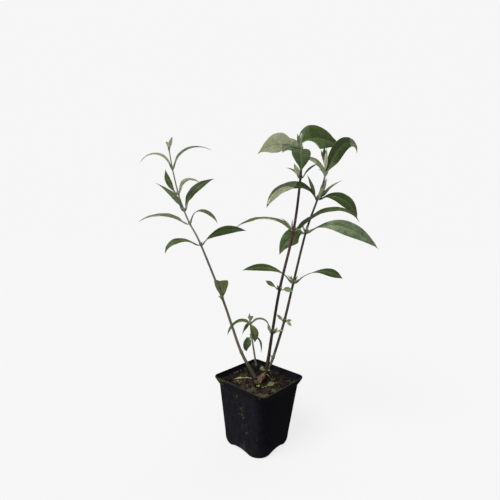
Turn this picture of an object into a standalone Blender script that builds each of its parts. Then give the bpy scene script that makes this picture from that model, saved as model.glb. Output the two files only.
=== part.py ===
"""A young butterfly bush, three long arching canes and a short shoot, in a square nursery pot.

Units are metres, +Z is up, and the origin is the middle of the pot's flat underside. The pot's sides
lie along X and Y. The plant is turned in it, so limbs and leaves hang on one turned empty.

A cane is a chain of internodes, each with a length, a lean from upright and a compass bearing. At most
joints of a cane stands one mass of foliage: a ring round the cane, a pair of opposite leaves, and the
young leaves of the shoots in their axils. At each tip the mass has a stem of its own, which goes on
from the cane's flat end.
"""
import math
import random
from collections import namedtuple

import bmesh
import bpy
import numpy as np
from mathutils import noise, Vector

MM = 0.001

# Clearance between neighbours that touch on the real plant
GAP = 0.3 * MM

# The square nursery pot, thin moulded plastic
POT_HEIGHT = 91.3 * MM
RIM_HALF = 45.1 * MM
RIM_CORNER = 8 * MM
RIM_BAND = 1.8 * MM
RIM_EDGE = 0.5 * MM
LIP_DROP = 9.9 * MM
LIP_CURVE = 0.85
NECK_HALF = 41.8 * MM
NECK_CORNER = 12.5 * MM
BASE_HALF = 35.8 * MM
BASE_CORNER = 17 * MM
BASE_BLEND = 12 * MM
BASE_INSET = 3.6 * MM
POT_WALL = 1.2 * MM
CORNER_STEPS = 5
FOOT_SHARES = (0.0, 0.12, 0.35, 1.0)

# The arch in the lower edge of each side, between two feet
ARCH_WIDTH = 32 * MM
ARCH_HEIGHT = 5.0 * MM
ARCH_DEPTH = 9 * MM
ARCH_SIDES = 48
ARCH_OVERRUN = 10 * MM

# The compost, heaped towards the back of the plant
SOIL_LEVEL = POT_HEIGHT - 8.0 * MM
SOIL_HEAP = 6.0 * MM
SOIL_HEAP_AT = (-12 * MM, 32 * MM)
SOIL_HEAP_SPREAD = 24 * MM
SOIL_LUMP = 1.1 * MM
SOIL_LUMP_SIZE = 9 * MM
SOIL_CELLS = 16
SOIL_SHEET_HALF = 1.6 * RIM_HALF

# The plant's turn in its pot, and how deep its stems stand in the compost
PLANT_TURN = math.radians(41)
STEM_SINK = 4.5 * MM
SOCKET_REACH = 27 * MM

# Limbs: the points of a line from one joint to the next, the step between sections, the detail of a
# section, the distance below which its points are joined, and the shape of the taper
LINE_POINTS = 24
LIMB_STEP = 11 * MM
LIMB_RESOLUTION = 2
LIMB_WELD = 0.02 * MM
TAPER_POWER = 1.4
FLARE_SHARE = 0.06

# The swollen joint that carries a pair of leaves
RING_WALL = 1.15 * MM
RING_END_WALL = 0.75 * MM
RING_HALF_HEIGHT = 3.0 * MM

# How far a mass is bored clear of its cane, below and above the joint
BORE_BELOW = 15 * MM
BORE_ABOVE = 36 * MM

# How far out a leaf is rooted: a share of the joint's wall past the cane, or of the tip's own stem
ROOT_WALL_SHARE = 0.6
ROOT_TIP_SHARE = 0.5

# Leaves
LEAF_STATIONS = 9
SHORT_LEAF_STATIONS = 6
MIDRIB_STEPS = 6
LEAF_TAPER = 1.15
LEAF_THICKNESS_SHARE = 0.0135
LEAF_THICKNESS_LEAST = 0.85 * MM
ROLL_SHARE = 0.26
PETIOLE_HALF = 0.95 * MM
LEAF_TIP_HALF = 0.35 * MM
LEAF_FOLD = math.radians(16)
LEAF_ROOT_SINK = 1.5 * MM
LONG_LEAF = 35 * MM

# Young leaves in the axils
AXIL_LEAF_LENGTH = (9, 15)
AXIL_LEAF_WIDTH = (2.4, 3.6)
AXIL_SPREAD = 35
AXIL_SEED = 11

Step = namedtuple("Step", "joint length lean bearing")
Cane = namedtuple("Cane", "foot foot_radius tip_radius flare steps")
Leaf = namedtuple("Leaf", "bearing length width climb droop swing roll twist bend petiole full rise",
                  defaults=(0, 0, 0, 1.0, 0.13, 0.75, 0))
Mass = namedtuple("Mass", "name cane joint leaves axils", defaults=(0,))

# Lengths and radii here are in millimetres, leans and bearings in degrees; a bearing of 0 is the plant's
# right, and 90 is its back. A foot is the place where the stem comes out of the compost, with its height
# taken from the pot's rim.
CANES = {
    "left_cane": Cane((-4.1, 3.0, -6.8), 3.0, 0.75, 0.5, [
        Step("L0", 42.7, 30.5, 175), Step("L1", 40.4, 22.4, 169), Step("L2", 39.7, 22.0, 168),
        Step("L3", 80.9, 24.9, 168), Step("L4", 33.4, 30.6, 170), Step("L5", 20.5, 26.4, 167),
        Step("L6", 25.0, 22.9, 162), Step("L7", 36.5, 16.2, 163), Step("L8", 28.8, 12.9, 162)]),
    "middle_cane": Cane((0.6, -6.0, -7.6), 2.8, 1.45, 0.65, [
        Step("fork", 20.0, 33.0, 35), Step("M1", 53.5, 6.6, -10), Step("M2", 60.7, 7.2, -15),
        Step("M3", 81.5, 10.6, -8), Step("M4", 69.5, 5.1, -29), Step("M5", 35.7, 2.0, -128),
        Step("M6", 12.0, 6.0, 150)]),
    "right_cane": Cane((12.6, 0.6, 12.2), 1.9, 1.0, 0.1, [
        Step("R0", 14.8, 23.2, 10), Step("R1", 54.1, 14.4, 4), Step("R2", 54.0, 10.6, 0),
        Step("R3", 70.0, 11.1, -9), Step("R4", 47.1, 16.5, -9), Step("R5", 34.5, 16.9, 24),
        Step("R6", 31.5, 26.0, 96)]),
    "back_shoot": Cane((-2.7, 28.0, -2.8), 1.6, 0.9, 0.3, [
        Step("S2", 51.6, 11.5, -157), Step("S1", 19.4, 8.3, -159), Step("S0", 5.0, 8.0, 120)]),
}

# The middle cane stands on the old brown stump, which is the lowest stretch of its line, up to the fork
STUMP_JOINT = "fork"
STUMP_FOOT_RADIUS = 4.3
STUMP_TOP_RADIUS = 2.9

# The right cane starts inside the fork, and is cut clear of its neighbours there
FORK_SINK = 2.0 * MM

# How far below its last pair of leaves a cane ends and the tip's own stem goes on
TIP_MARGIN = 9 * MM

# The masses of foliage at the joints of the canes, from the foot up; the last of each cane is its tip.
# A leaf has its bearing, length, width, climb at the root and droop to the tip, and, by name, how far it
# swings sideways, rolls about its midrib and twists on to the tip, how late it bends, the share of it
# that is stalk, how far on it is widest, and how far above the joint it is rooted.
MASSES = [
    Mass("left_leaves_1", "left_cane", "L2", [
        Leaf(97, 63, 20.3, 65, 109, swing=11, roll=-12, twist=18, bend=1.02, petiole=0, full=0.89),
        Leaf(-100, 14, 7, 55, 60)]),
    Mass("left_leaves_2", "left_cane", "L3", [
        Leaf(41, 80, 12.8, 53, 65, swing=-17, roll=86, twist=5, bend=0.81, petiole=0.1, full=0.99),
        Leaf(-163, 57, 9.8, 25, 107, swing=17, roll=-31, twist=-6, bend=1.64, petiole=0, full=1.24)]),
    Mass("left_leaves_3", "left_cane", "L4", [
        Leaf(-162, 75, 18, 32, 63, swing=-38, roll=1, twist=19, bend=1.01, petiole=0.14, full=0.43),
        Leaf(-57, 64, 6, 90, 157, swing=55, roll=86, twist=36, bend=0.82, petiole=0.24, full=1.5)]),
    Mass("left_leaves_4", "left_cane", "L5", [
        Leaf(6, 70, 15.3, 89, 72, swing=37, roll=23, twist=36, bend=0.79, petiole=0.04, full=0.63),
        Leaf(-138, 54, 7.6, 72, 49, swing=-44, roll=-75, twist=-69, bend=0.7, petiole=0, full=0.77)]),
    Mass("left_leaves_5", "left_cane", "L6", [
        Leaf(143, 52, 9.5, 32, -37, swing=-18, roll=-31, twist=35, bend=1.19, petiole=0.03, full=1.18),
        Leaf(-56, 48, 9, 73, 115, swing=52, roll=9, twist=-41, bend=1.2, petiole=0.04, full=1.14),
        Leaf(60, 14, 3, 70, 20)]),
    Mass("left_top", "left_cane", "L7", [
        Leaf(20, 74, 10, 84, 105, roll=20), Leaf(-152, 58, 10, 80, 147, swing=-4),
        Leaf(118, 26, 5.5, 72, 60, rise=27), Leaf(-62, 24, 5, 74, 60, rise=27),
        Leaf(28, 13, 3, 84, 20, rise=28), Leaf(-152, 12, 3, 84, 20, rise=28)]),
    Mass("middle_leaves_1", "middle_cane", "M1", [
        Leaf(-22, 16, 3.4, 42, 40, roll=40), Leaf(175, 15, 4.4, 70, -8, roll=-75),
        Leaf(10, 9, 3.4, 62, 0, roll=70)]),
    Mass("middle_leaves_2", "middle_cane", "M2", [
        Leaf(168, 21, 6, 42, 20, roll=-70, full=1.3),
        Leaf(-12, 16, 7, 24, 64, roll=60, petiole=0.1, full=0.9),
        Leaf(175, 7, 2.8, 84, 0, roll=-60)]),
    Mass("middle_leaves_3", "middle_cane", "M3", [
        Leaf(133, 109, 16.4, 40, 75, swing=23, roll=14, twist=-64, bend=0.85, petiole=0.04, full=0.56),
        Leaf(-22, 96, 22, 43, 102, swing=27, roll=-20, twist=70, bend=2, petiole=0.02, full=0.74),
        Leaf(-150, 15, 3.8, 76, -28, roll=-60), Leaf(-8, 14, 6, 60, 60, roll=50),
        Leaf(-48, 12, 5, 44, 80, roll=30), Leaf(-14, 25, 3.4, 56, 12, roll=60),
        Leaf(-160, 24, 3.4, 68, 50)]),
    Mass("middle_leaves_4", "middle_cane", "M4", [
        Leaf(-145, 20, 7, 64, 10, roll=40), Leaf(165, 23, 3.2, 71, 66, roll=-50),
        Leaf(-20, 31, 3.8, 64, 50, roll=60), Leaf(100, 30, 7, 62, 70)]),
    Mass("middle_top", "middle_cane", "M5", [
        Leaf(-157, 66, 26.9, 18, 68, swing=-1, roll=56, twist=-16, bend=1.31, petiole=0.21, full=0.7),
        Leaf(-101, 54, 23.2, 21, 91, swing=10, roll=9, twist=-39, bend=0.44, petiole=0.12, full=0.82),
        Leaf(38, 79, 37.8, 27, 60, swing=-17, roll=73, twist=-12, bend=1.17, petiole=0.05,
             full=0.53, rise=11),
        Leaf(108, 44, 18, 50, 90, rise=6), Leaf(168, 19, 5.5, 74, 0, roll=-65, rise=3),
        Leaf(-60, 14, 4.4, 86, 0, rise=11),
        Leaf(-151, 39, 17.5, 19, 76, swing=28, roll=86, twist=78, bend=1.19, petiole=0, full=0.75)]),
    Mass("right_leaves_1", "right_cane", "R1", [
        Leaf(165, 13, 4.4, 54, 22, roll=-70), Leaf(-22, 10, 4.4, -14, 46, roll=65),
        Leaf(20, 9, 3.6, 14, 14, roll=60)]),
    Mass("right_leaves_2", "right_cane", "R2", [
        Leaf(-178, 76, 10.2, 64, 88, swing=-8, roll=-62, twist=-48, bend=0.7, petiole=0.16, full=1.29),
        Leaf(-6, 71, 11.4, 52, 88, swing=7, roll=66, twist=8, bend=1.01, petiole=0.3, full=1.67),
        Leaf(170, 11, 3.6, 82, 0, roll=-60)], 1),
    Mass("right_leaves_3", "right_cane", "R3", [
        Leaf(-42, 103, 19.6, 47, 94, swing=19, roll=49, twist=94, bend=0.68, petiole=0.05, full=1.39),
        Leaf(166, 49, 22.7, 3, 80, swing=-13, roll=-87, twist=-28, bend=0.72, petiole=0, full=0.64)], 1),
    Mass("right_leaves_4", "right_cane", "R4", [
        Leaf(-136, 91, 16.9, 48, 121, swing=-55, roll=-11, twist=87, bend=1.03, petiole=0.01, full=1.26),
        Leaf(-3, 67, 17.4, 50, 120, swing=12, roll=73, twist=10, bend=0.63, petiole=0.03, full=1.2),
        Leaf(150, 37, 4.8, 71, 8, roll=-60), Leaf(10, 26, 6.4, 78, 14, roll=70, rise=5),
        Leaf(-60, 20, 7, 72, 23), Leaf(5, 41, 3.6, 60, 36, roll=50),
        Leaf(-14, 23, 6.4, 60, 24, roll=62)]),
    Mass("right_top", "right_cane", "R5", [
        Leaf(10, 83, 20.3, 68, 169, swing=20, roll=85, twist=2, bend=3.3, petiole=0, full=0.92),
        Leaf(174, 43, 6.1, 71, 94, swing=10, roll=84, twist=-8, bend=1.43, petiole=0, full=0.97),
        Leaf(-100, 34, 5, 84, 6, rise=2), Leaf(80, 24, 5, 80, 20, rise=22),
        Leaf(170, 13, 4, 84, 20, roll=-60, rise=26), Leaf(20, 12, 4, 84, 20, roll=60, rise=26)], 1),
    Mass("back_shoot_leaves", "back_shoot", "S2", [
        Leaf(-146, 23.4, 12.8, -35, 96, swing=31, roll=-88, twist=35, bend=1.35, petiole=0.01, full=0.81),
        Leaf(-44, 35, 4.1, 38, 147, swing=-28, roll=-17, twist=1, bend=0.93, petiole=0, full=0.94)]),
    Mass("back_shoot_top", "back_shoot", "S1", [
        Leaf(148, 47, 13.6, 44, 123, swing=38, roll=20, twist=-71, bend=0.64, petiole=0.05, full=0.68),
        Leaf(-3, 41, 6.1, 56, 156, swing=-41, roll=12, twist=-3, bend=1.3, petiole=0.02, full=0.54),
        Leaf(-136, 22.1, 7.3, 7, 79, swing=21, roll=-82, twist=-19, bend=0.91, petiole=0.01, full=0.91),
        Leaf(-71, 32, 12.3, 6, 107, swing=11, roll=7, twist=-10, bend=0.95, petiole=0.04, full=1.24),
        Leaf(90, 34, 8, 45, 90), Leaf(150, 12, 3.4, 80, -10, roll=-50, rise=4),
        Leaf(-60, 6, 2.4, 80, 10, rise=4)]),
]

# Colour, roughness of each finish
FINISHES = {
    "pot_plastic": ((0.012, 0.012, 0.016), 0.5),
    "compost": ((0.022, 0.015, 0.010), 0.95),
    "old_bark": ((0.120, 0.062, 0.032), 0.85),
    "purple_bark": ((0.075, 0.040, 0.040), 0.6),
    "grey_bark": ((0.085, 0.070, 0.055), 0.8),
    "leaf": ((0.070, 0.110, 0.038), 0.6),
}


def finish(name):
    """A Principled material with a plain colour and roughness."""
    if name in bpy.data.materials:
        return bpy.data.materials[name]
    colour, roughness = FINISHES[name]
    material = bpy.data.materials.new(name)
    material.use_nodes = True
    material.diffuse_color = (*colour, 1.0)
    shader = material.node_tree.nodes["Principled BSDF"]
    shader.inputs["Base Color"].default_value = (*colour, 1.0)
    shader.inputs["Roughness"].default_value = roughness
    return material


def clear_scene():
    """Empty the scene, and make the collections for the plant and for its cutters."""
    for thing in list(bpy.data.objects):
        bpy.data.objects.remove(thing, do_unlink=True)
    made = []
    for name in ("potted_butterfly_bush", "cutters"):
        collection = bpy.data.collections.new(name)
        bpy.context.scene.collection.children.link(collection)
        made.append(collection)
    return made


def add_object(name, mesh, collection, parent=None):
    """Link a new object that holds a mesh."""
    thing = bpy.data.objects.new(name, mesh)
    thing.parent = parent
    collection.objects.link(thing)
    return thing


def evaluated_mesh(thing):
    """A new mesh of an object as its modifiers leave it."""
    bpy.context.view_layer.update()
    return bpy.data.meshes.new_from_object(thing.evaluated_get(bpy.context.evaluated_depsgraph_get()))


def is_closed(mesh):
    """Whether every edge of a mesh, cut into triangles, lies between two of them."""
    form = bmesh.new()
    form.from_mesh(mesh)
    bmesh.ops.triangulate(form, faces=form.faces)
    closed = all(len(edge.link_faces) == 2 for edge in form.edges)
    form.free()
    return closed


def drop(things):
    """Remove helper objects that have done their work."""
    for thing in things:
        bpy.data.objects.remove(thing, do_unlink=True)


def combine(thing, operation, others, cutters):
    """One Boolean of an object with a collection of others, applied; the others are removed.

    Where the exact solver leaves an edge open between thin blades, the manifold one takes its place.
    """
    group = bpy.data.collections.new("operands")
    cutters.children.link(group)
    for other in others:
        for owner in list(other.users_collection):
            owner.objects.unlink(other)
        group.objects.link(other)
        other.hide_render = True
        other.display_type = "WIRE"
    boolean = thing.modifiers.new(operation.lower(), "BOOLEAN")
    boolean.operation = operation
    boolean.operand_type = "COLLECTION"
    boolean.collection = group
    for solver in ("EXACT", "MANIFOLD"):
        boolean.solver = solver
        mesh = evaluated_mesh(thing)
        if is_closed(mesh):
            break
    thing.modifiers.clear()
    thing.data = mesh
    drop(others)
    cutters.children.unlink(group)
    bpy.data.collections.remove(group)
    return thing


def loft(name, rings):
    """A closed body through like sections, each a closed ring of points, with flat ends."""
    form = bmesh.new()
    rows = [[form.verts.new(point) for point in ring] for ring in rings]
    sides = len(rings[0])
    for low, high in zip(rows, rows[1:]):
        for i in range(sides):
            j = (i + 1) % sides
            form.faces.new((low[i], low[j], high[j], high[i]))
    form.faces.new(rows[0][::-1])
    form.faces.new(rows[-1])
    bmesh.ops.recalc_face_normals(form, faces=form.faces)
    mesh = bpy.data.meshes.new(name)
    form.to_mesh(mesh)
    form.free()
    return mesh


def rounded_square(half, corner, height):
    """A ring round a square of half a side, with its corners as arcs, at a height."""
    ring = []
    for quarter in range(4):
        middle = math.pi / 4 + quarter * math.pi / 2
        reach = (half - corner) * math.sqrt(2)
        for k in range(CORNER_STEPS):
            angle = middle + (k / (CORNER_STEPS - 1) - 0.5) * math.pi / 2
            ring.append((reach * math.cos(middle) + corner * math.cos(angle),
                         reach * math.sin(middle) + corner * math.sin(angle), height))
    return ring


def pot_section(height):
    """Half side and corner radius of the pot's outer skin at a height.

    From the rounded lower edge it widens evenly to the neck, and above that flares out to the rim.
    """
    neck = POT_HEIGHT - LIP_DROP
    share = min(max((height - BASE_BLEND) / (neck - BASE_BLEND), 0.0), 1.0)
    half = BASE_HALF + (NECK_HALF - BASE_HALF) * share
    corner = BASE_CORNER + (NECK_CORNER - BASE_CORNER) * share
    if height < BASE_BLEND:
        dip = 1 - height / BASE_BLEND
        half -= BASE_INSET * (1 - math.sqrt(1 - dip * dip))
    if height > neck:
        flare = min((height - neck) / (LIP_DROP - RIM_BAND), 1.0) ** LIP_CURVE
        half += (RIM_HALF - NECK_HALF) * flare
        corner += (RIM_CORNER - NECK_CORNER) * flare
    return half, corner


def pot_block(name, inset, top, collection, cutters):
    """The pot as a solid block, all its faces moved in by an inset, less the four arches below it."""
    neck = POT_HEIGHT - LIP_DROP
    rim = POT_HEIGHT - RIM_BAND
    heights = [inset + (BASE_BLEND - inset) * share for share in FOOT_SHARES]
    heights += [neck, 0.5 * (neck + rim), rim]
    rings = []
    for height in heights:
        half, corner = pot_section(height)
        if height == inset:
            half = pot_section(0.0)[0]
        rings.append(rounded_square(half - inset, corner - inset, height))
    half, corner = RIM_HALF - inset, RIM_CORNER - inset
    if inset == 0.0:
        rings.append(rounded_square(half, corner, top - RIM_EDGE))
        rings.append(rounded_square(half - RIM_EDGE, corner - RIM_EDGE, top))
    else:
        rings.append(rounded_square(half, corner, top))
    block = add_object(name, loft(name, rings), collection)
    return combine(block, "DIFFERENCE", arch_cutters(inset, cutters), cutters)


def arch_cutters(inset, cutters):
    """Four lying cylinders, one under the lower edge of each side."""
    radius = (ARCH_WIDTH ** 2 / 4 + ARCH_HEIGHT ** 2) / (2 * ARCH_HEIGHT)
    made = []
    for quarter in range(4):
        form = bmesh.new()
        length = ARCH_DEPTH + 2 * inset + ARCH_OVERRUN
        bmesh.ops.create_cone(form, cap_ends=True, segments=ARCH_SIDES, radius1=radius + inset,
                              radius2=radius + inset, depth=length)
        mesh = bpy.data.meshes.new("arch")
        form.to_mesh(mesh)
        form.free()
        cutter = add_object("arch", mesh, cutters)
        angle = quarter * math.pi / 2
        reach = BASE_HALF - ARCH_DEPTH - inset + length / 2
        cutter.location = (reach * math.cos(angle), reach * math.sin(angle), ARCH_HEIGHT - radius)
        cutter.rotation_euler = (0, math.pi / 2, angle)
        made.append(cutter)
    return made


def make_pot(collection, cutters):
    """The pot: a tapered square box whose rim flares out, hollowed to an even wall."""
    pot = pot_block("pot", 0.0, POT_HEIGHT, collection, cutters)
    hollow = pot_block("hollow", POT_WALL, POT_HEIGHT + RIM_BAND, cutters, cutters)
    combine(pot, "DIFFERENCE", [hollow], cutters)
    pot.data.materials.clear()
    pot.data.materials.append(finish("pot_plastic"))
    return pot


def soil_height(x, y):
    """Height of the compost at a place in the plant's own frame: a level, a heap, and lumps."""
    away = ((x - SOIL_HEAP_AT[0]) ** 2 + (y - SOIL_HEAP_AT[1]) ** 2) / SOIL_HEAP_SPREAD ** 2
    lump = noise.noise(Vector((x, y, 0.0)) / SOIL_LUMP_SIZE)
    return SOIL_LEVEL + SOIL_HEAP * math.exp(-away) + SOIL_LUMP * lump


def make_soil(collection, cutters, parent):
    """The compost fills the pot up to a lumpy top: the pot's hollow met with a thick ground sheet."""
    soil = pot_block("soil", POT_WALL + GAP, POT_HEIGHT, collection, cutters)
    form = bmesh.new()
    bmesh.ops.create_grid(form, x_segments=SOIL_CELLS, y_segments=SOIL_CELLS, size=SOIL_SHEET_HALF)
    under = bmesh.ops.extrude_face_region(form, geom=form.faces[:])
    lower = [item for item in under["geom"] if isinstance(item, bmesh.types.BMVert)]
    for vert in form.verts:
        vert.co.z = soil_height(vert.co.x, vert.co.y)
    for vert in lower:
        vert.co.z = -RIM_HALF
    bmesh.ops.recalc_face_normals(form, faces=form.faces)
    mesh = bpy.data.meshes.new("ground_sheet")
    form.to_mesh(mesh)
    form.free()
    sheet = add_object("ground_sheet", mesh, cutters, parent)
    combine(soil, "INTERSECT", [sheet], cutters)
    soil.data.materials.clear()
    soil.data.materials.append(finish("compost"))
    return soil


def direction(lean, bearing):
    """Unit vector at a lean from upright, towards a compass bearing, both in degrees."""
    lean, bearing = math.radians(lean), math.radians(bearing)
    return np.array([math.sin(lean) * math.cos(bearing), math.sin(lean) * math.sin(bearing), math.cos(lean)])


class Line:
    """The smooth middle line of a cane: a curve through its joints, measured along its length."""

    def __init__(self, cane):
        joints = [np.array(cane.foot) * MM + np.array([0, 0, POT_HEIGHT])]
        for step in cane.steps:
            joints.append(joints[-1] + step.length * MM * direction(step.lean, step.bearing))
        first = 2 * joints[0] - joints[1]
        last = 2 * joints[-1] - joints[-2]
        ends = [first] + joints + [last]
        share = np.linspace(0, 1, LINE_POINTS, endpoint=False)[:, None]
        pieces = []
        for a, b, c, d in zip(ends, ends[1:], ends[2:], ends[3:]):
            pieces.append(0.5 * (2 * b + (c - a) * share + (2 * a - 5 * b + 4 * c - d) * share ** 2
                                 + (3 * b - a - 3 * c + d) * share ** 3))
        self.points = np.vstack(pieces + [joints[-1][None]])
        runs = np.linalg.norm(np.diff(self.points, axis=0), axis=1)
        self.along = np.concatenate([[0.0], np.cumsum(runs)])
        self.length = self.along[-1]
        self.joints = {step.joint: self.along[LINE_POINTS * (k + 1)] for k, step in enumerate(cane.steps)}

    def at(self, distance):
        """Points at distances along the line; a negative one runs straight back below the foot."""
        distance = np.atleast_1d(distance)
        inside = np.clip(distance, 0, self.length)
        point = np.stack([np.interp(inside, self.along, self.points[:, k]) for k in range(3)], axis=1)
        back = self.points[1] - self.points[0]
        back = back / np.linalg.norm(back)
        return point + np.minimum(distance, 0.0)[:, None] * back


def cane_radius(name, line, distance):
    """Radius along a cane: it falls fast just above the foot, by its flare, and then ever faster."""
    cane = CANES[name]
    start = line.joints.get(STUMP_JOINT, 0.0)
    share = np.clip((distance - start) / (line.length - start), 0, 1)
    thick = (1 - cane.flare) * (1 - share ** TAPER_POWER) + cane.flare * np.exp(-share / FLARE_SHARE)
    return (cane.tip_radius + (cane.foot_radius - cane.tip_radius) * thick) * MM


def stump_radius(line, distance):
    """Radius along the old stump, an even taper from the compost to the fork."""
    share = np.clip(distance / line.joints[STUMP_JOINT], 0, 1)
    return (STUMP_FOOT_RADIUS + (STUMP_TOP_RADIUS - STUMP_FOOT_RADIUS) * share) * MM


def tube(name, points, radii, collection, parent):
    """A limb: a curve through points with a radius at each, filled at its ends and made a mesh."""
    curve = bpy.data.curves.new(name, "CURVE")
    curve.dimensions = "3D"
    curve.bevel_depth = 1.0
    curve.bevel_resolution = LIMB_RESOLUTION
    curve.use_fill_caps = True
    spline = curve.splines.new("POLY")
    spline.points.add(len(points) - 1)
    for spot, point, radius in zip(spline.points, points, radii):
        spot.co = (*point, 1.0)
        spot.radius = radius
    guide = add_object(name + "_line", curve, collection)
    mesh = evaluated_mesh(guide)
    form = bmesh.new()
    form.from_mesh(mesh)
    bmesh.ops.remove_doubles(form, verts=form.verts, dist=LIMB_WELD)
    form.to_mesh(mesh)
    form.free()
    mesh.name = name
    bpy.data.objects.remove(guide, do_unlink=True)
    return add_object(name, mesh, collection, parent)


def limb(name, line, start, end, radius, collection, parent, grow=0.0):
    """The stretch of a line between two distances as a tube, grown all round where it is a cutter."""
    start, end = start - grow, end + grow
    sections = max(3, math.ceil((end - start) / LIMB_STEP) + 1)
    along = np.linspace(start, end, sections)
    return tube(name, line.at(along), radius(along) + grow, collection, parent)


def leaf_body(leaf, root, collection, parent):
    """One leaf as a thin closed body.

    Its midrib sets out at the leaf's climb and bearing, and turns down by its droop, the later the greater
    its bend is, and sideways by its swing. Across, a blade of even thickness is folded up at the midrib,
    rolled about it, and widest nearer the tip the greater its fullness is, after a narrow stalk.
    """
    stations = LEAF_STATIONS if leaf.length * MM > LONG_LEAF else SHORT_LEAF_STATIONS
    count = MIDRIB_STEPS * (stations - 1)
    middle = (np.arange(count) + 0.5) / count

    def heading(share):
        climb = np.radians(leaf.climb - leaf.droop * share ** leaf.bend)
        bearing = np.radians(leaf.bearing + leaf.swing * share)
        return np.stack([np.cos(climb) * np.cos(bearing), np.cos(climb) * np.sin(bearing), np.sin(climb)], 1)

    steps = heading(middle) * leaf.length * MM / count
    midrib = root + np.vstack([np.zeros(3), np.cumsum(steps, axis=0)])[::MIDRIB_STEPS]
    share = np.linspace(0, 1, stations)
    ahead = heading(share)
    bearing = np.radians(leaf.bearing + leaf.swing * share)
    side = np.stack([-np.sin(bearing), np.cos(bearing), np.zeros(stations)], axis=1)
    above = np.cross(ahead, side)
    roll = np.radians(leaf.roll * np.clip(share / ROLL_SHARE, 0, 1) + leaf.twist * share)[:, None]
    side, above = side * np.cos(roll) + above * np.sin(roll), above * np.cos(roll) - side * np.sin(roll)

    blade = np.clip((share - leaf.petiole) / (1 - leaf.petiole), 0, 1)
    half = leaf.width / 2 * MM * np.abs(np.sin(math.pi * blade ** leaf.full)) ** LEAF_TAPER
    petiole = PETIOLE_HALF + (LEAF_TIP_HALF - PETIOLE_HALF) * share
    half = np.maximum(half, petiole)[:, None]
    thick = max(LEAF_THICKNESS_LEAST, LEAF_THICKNESS_SHARE * leaf.length * MM) / 2
    out, up = half * math.cos(LEAF_FOLD), half * math.sin(LEAF_FOLD)
    left = midrib + side * out + above * up
    right = midrib - side * out + above * up
    rings = np.stack([left + above * thick, midrib + above * thick, right + above * thick,
                      right - above * thick, midrib - above * thick, left - above * thick], axis=1)
    return add_object("leaf", loft("leaf", rings.tolist()), collection, parent)


def axil_leaves(mass, number):
    """The young leaves of the shoots in the axils of a mass's first two leaves, by a seeded rule."""
    rng = random.Random(AXIL_SEED + number)
    young = []
    for leaf in mass.leaves[:2] * mass.axils:
        for turn in (-1, 1):
            bearing = leaf.bearing + turn * AXIL_SPREAD * rng.uniform(0.6, 1.4)
            young.append(Leaf(bearing, rng.uniform(*AXIL_LEAF_LENGTH), rng.uniform(*AXIL_LEAF_WIDTH),
                              rng.uniform(62, 80), rng.uniform(10, 60)))
    return young


def root_place(line, distance, bearing, reach):
    """The place where a leaf is rooted: beside the middle line, by a reach towards its bearing."""
    angle = math.radians(bearing)
    sink = np.array([0, 0, -LEAF_ROOT_SINK])
    return line.at(distance)[0] + reach * np.array([math.cos(angle), math.sin(angle), 0.0]) + sink


def keep_largest(thing):
    """Drop the loose scraps that a cut left beside the main body."""
    form = bmesh.new()
    form.from_mesh(thing.data)
    left = set(form.verts)
    islands = []
    while left:
        island, queue = set(), [left.pop()]
        while queue:
            vert = queue.pop()
            island.add(vert)
            for edge in vert.link_edges:
                other = edge.other_vert(vert)
                if other in left:
                    left.discard(other)
                    queue.append(other)
        islands.append(island)
    islands.sort(key=len)
    for island in islands[:-1]:
        bmesh.ops.delete(form, geom=list(island), context="VERTS")
    form.to_mesh(thing.data)
    form.free()


def make_mass(number, mass, line, is_tip, collection, cutters, parent):
    """One mass of foliage, round a joint of a cane or, at its tip, on a stem of its own."""
    def radius(distance):
        return cane_radius(mass.cane, line, distance)

    joint = line.joints[mass.joint]

    def swollen(distance):
        off = np.abs(distance - joint) / RING_HALF_HEIGHT
        return radius(distance) + RING_WALL + (RING_END_WALL - RING_WALL) * off ** 2

    name, home = ("swelling", cutters) if is_tip else (mass.name, collection)
    swelling = limb(name, line, joint - RING_HALF_HEIGHT, joint + RING_HALF_HEIGHT, swollen, home, parent)
    body, parts = swelling, []
    if is_tip:
        body = limb(mass.name, line, joint - TIP_MARGIN + GAP / 2, line.length, radius, collection, parent)
        parts.append(swelling)
    for leaf in mass.leaves + axil_leaves(mass, number):
        at = min(joint + leaf.rise * MM, line.length)
        reach = ROOT_TIP_SHARE * radius(at) if is_tip else radius(at) + ROOT_WALL_SHARE * RING_WALL
        parts.append(leaf_body(leaf, root_place(line, at, leaf.bearing, reach), cutters, parent))
    combine(body, "UNION", parts, cutters)
    if not is_tip:
        end = min(joint + BORE_ABOVE, line.length)
        bore = limb("bore", line, joint - BORE_BELOW, end, radius, cutters, parent, GAP)
        combine(body, "DIFFERENCE", [bore], cutters)
    keep_largest(body)
    body.data.materials.clear()
    body.data.materials.append(finish("leaf"))
    return body


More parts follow.
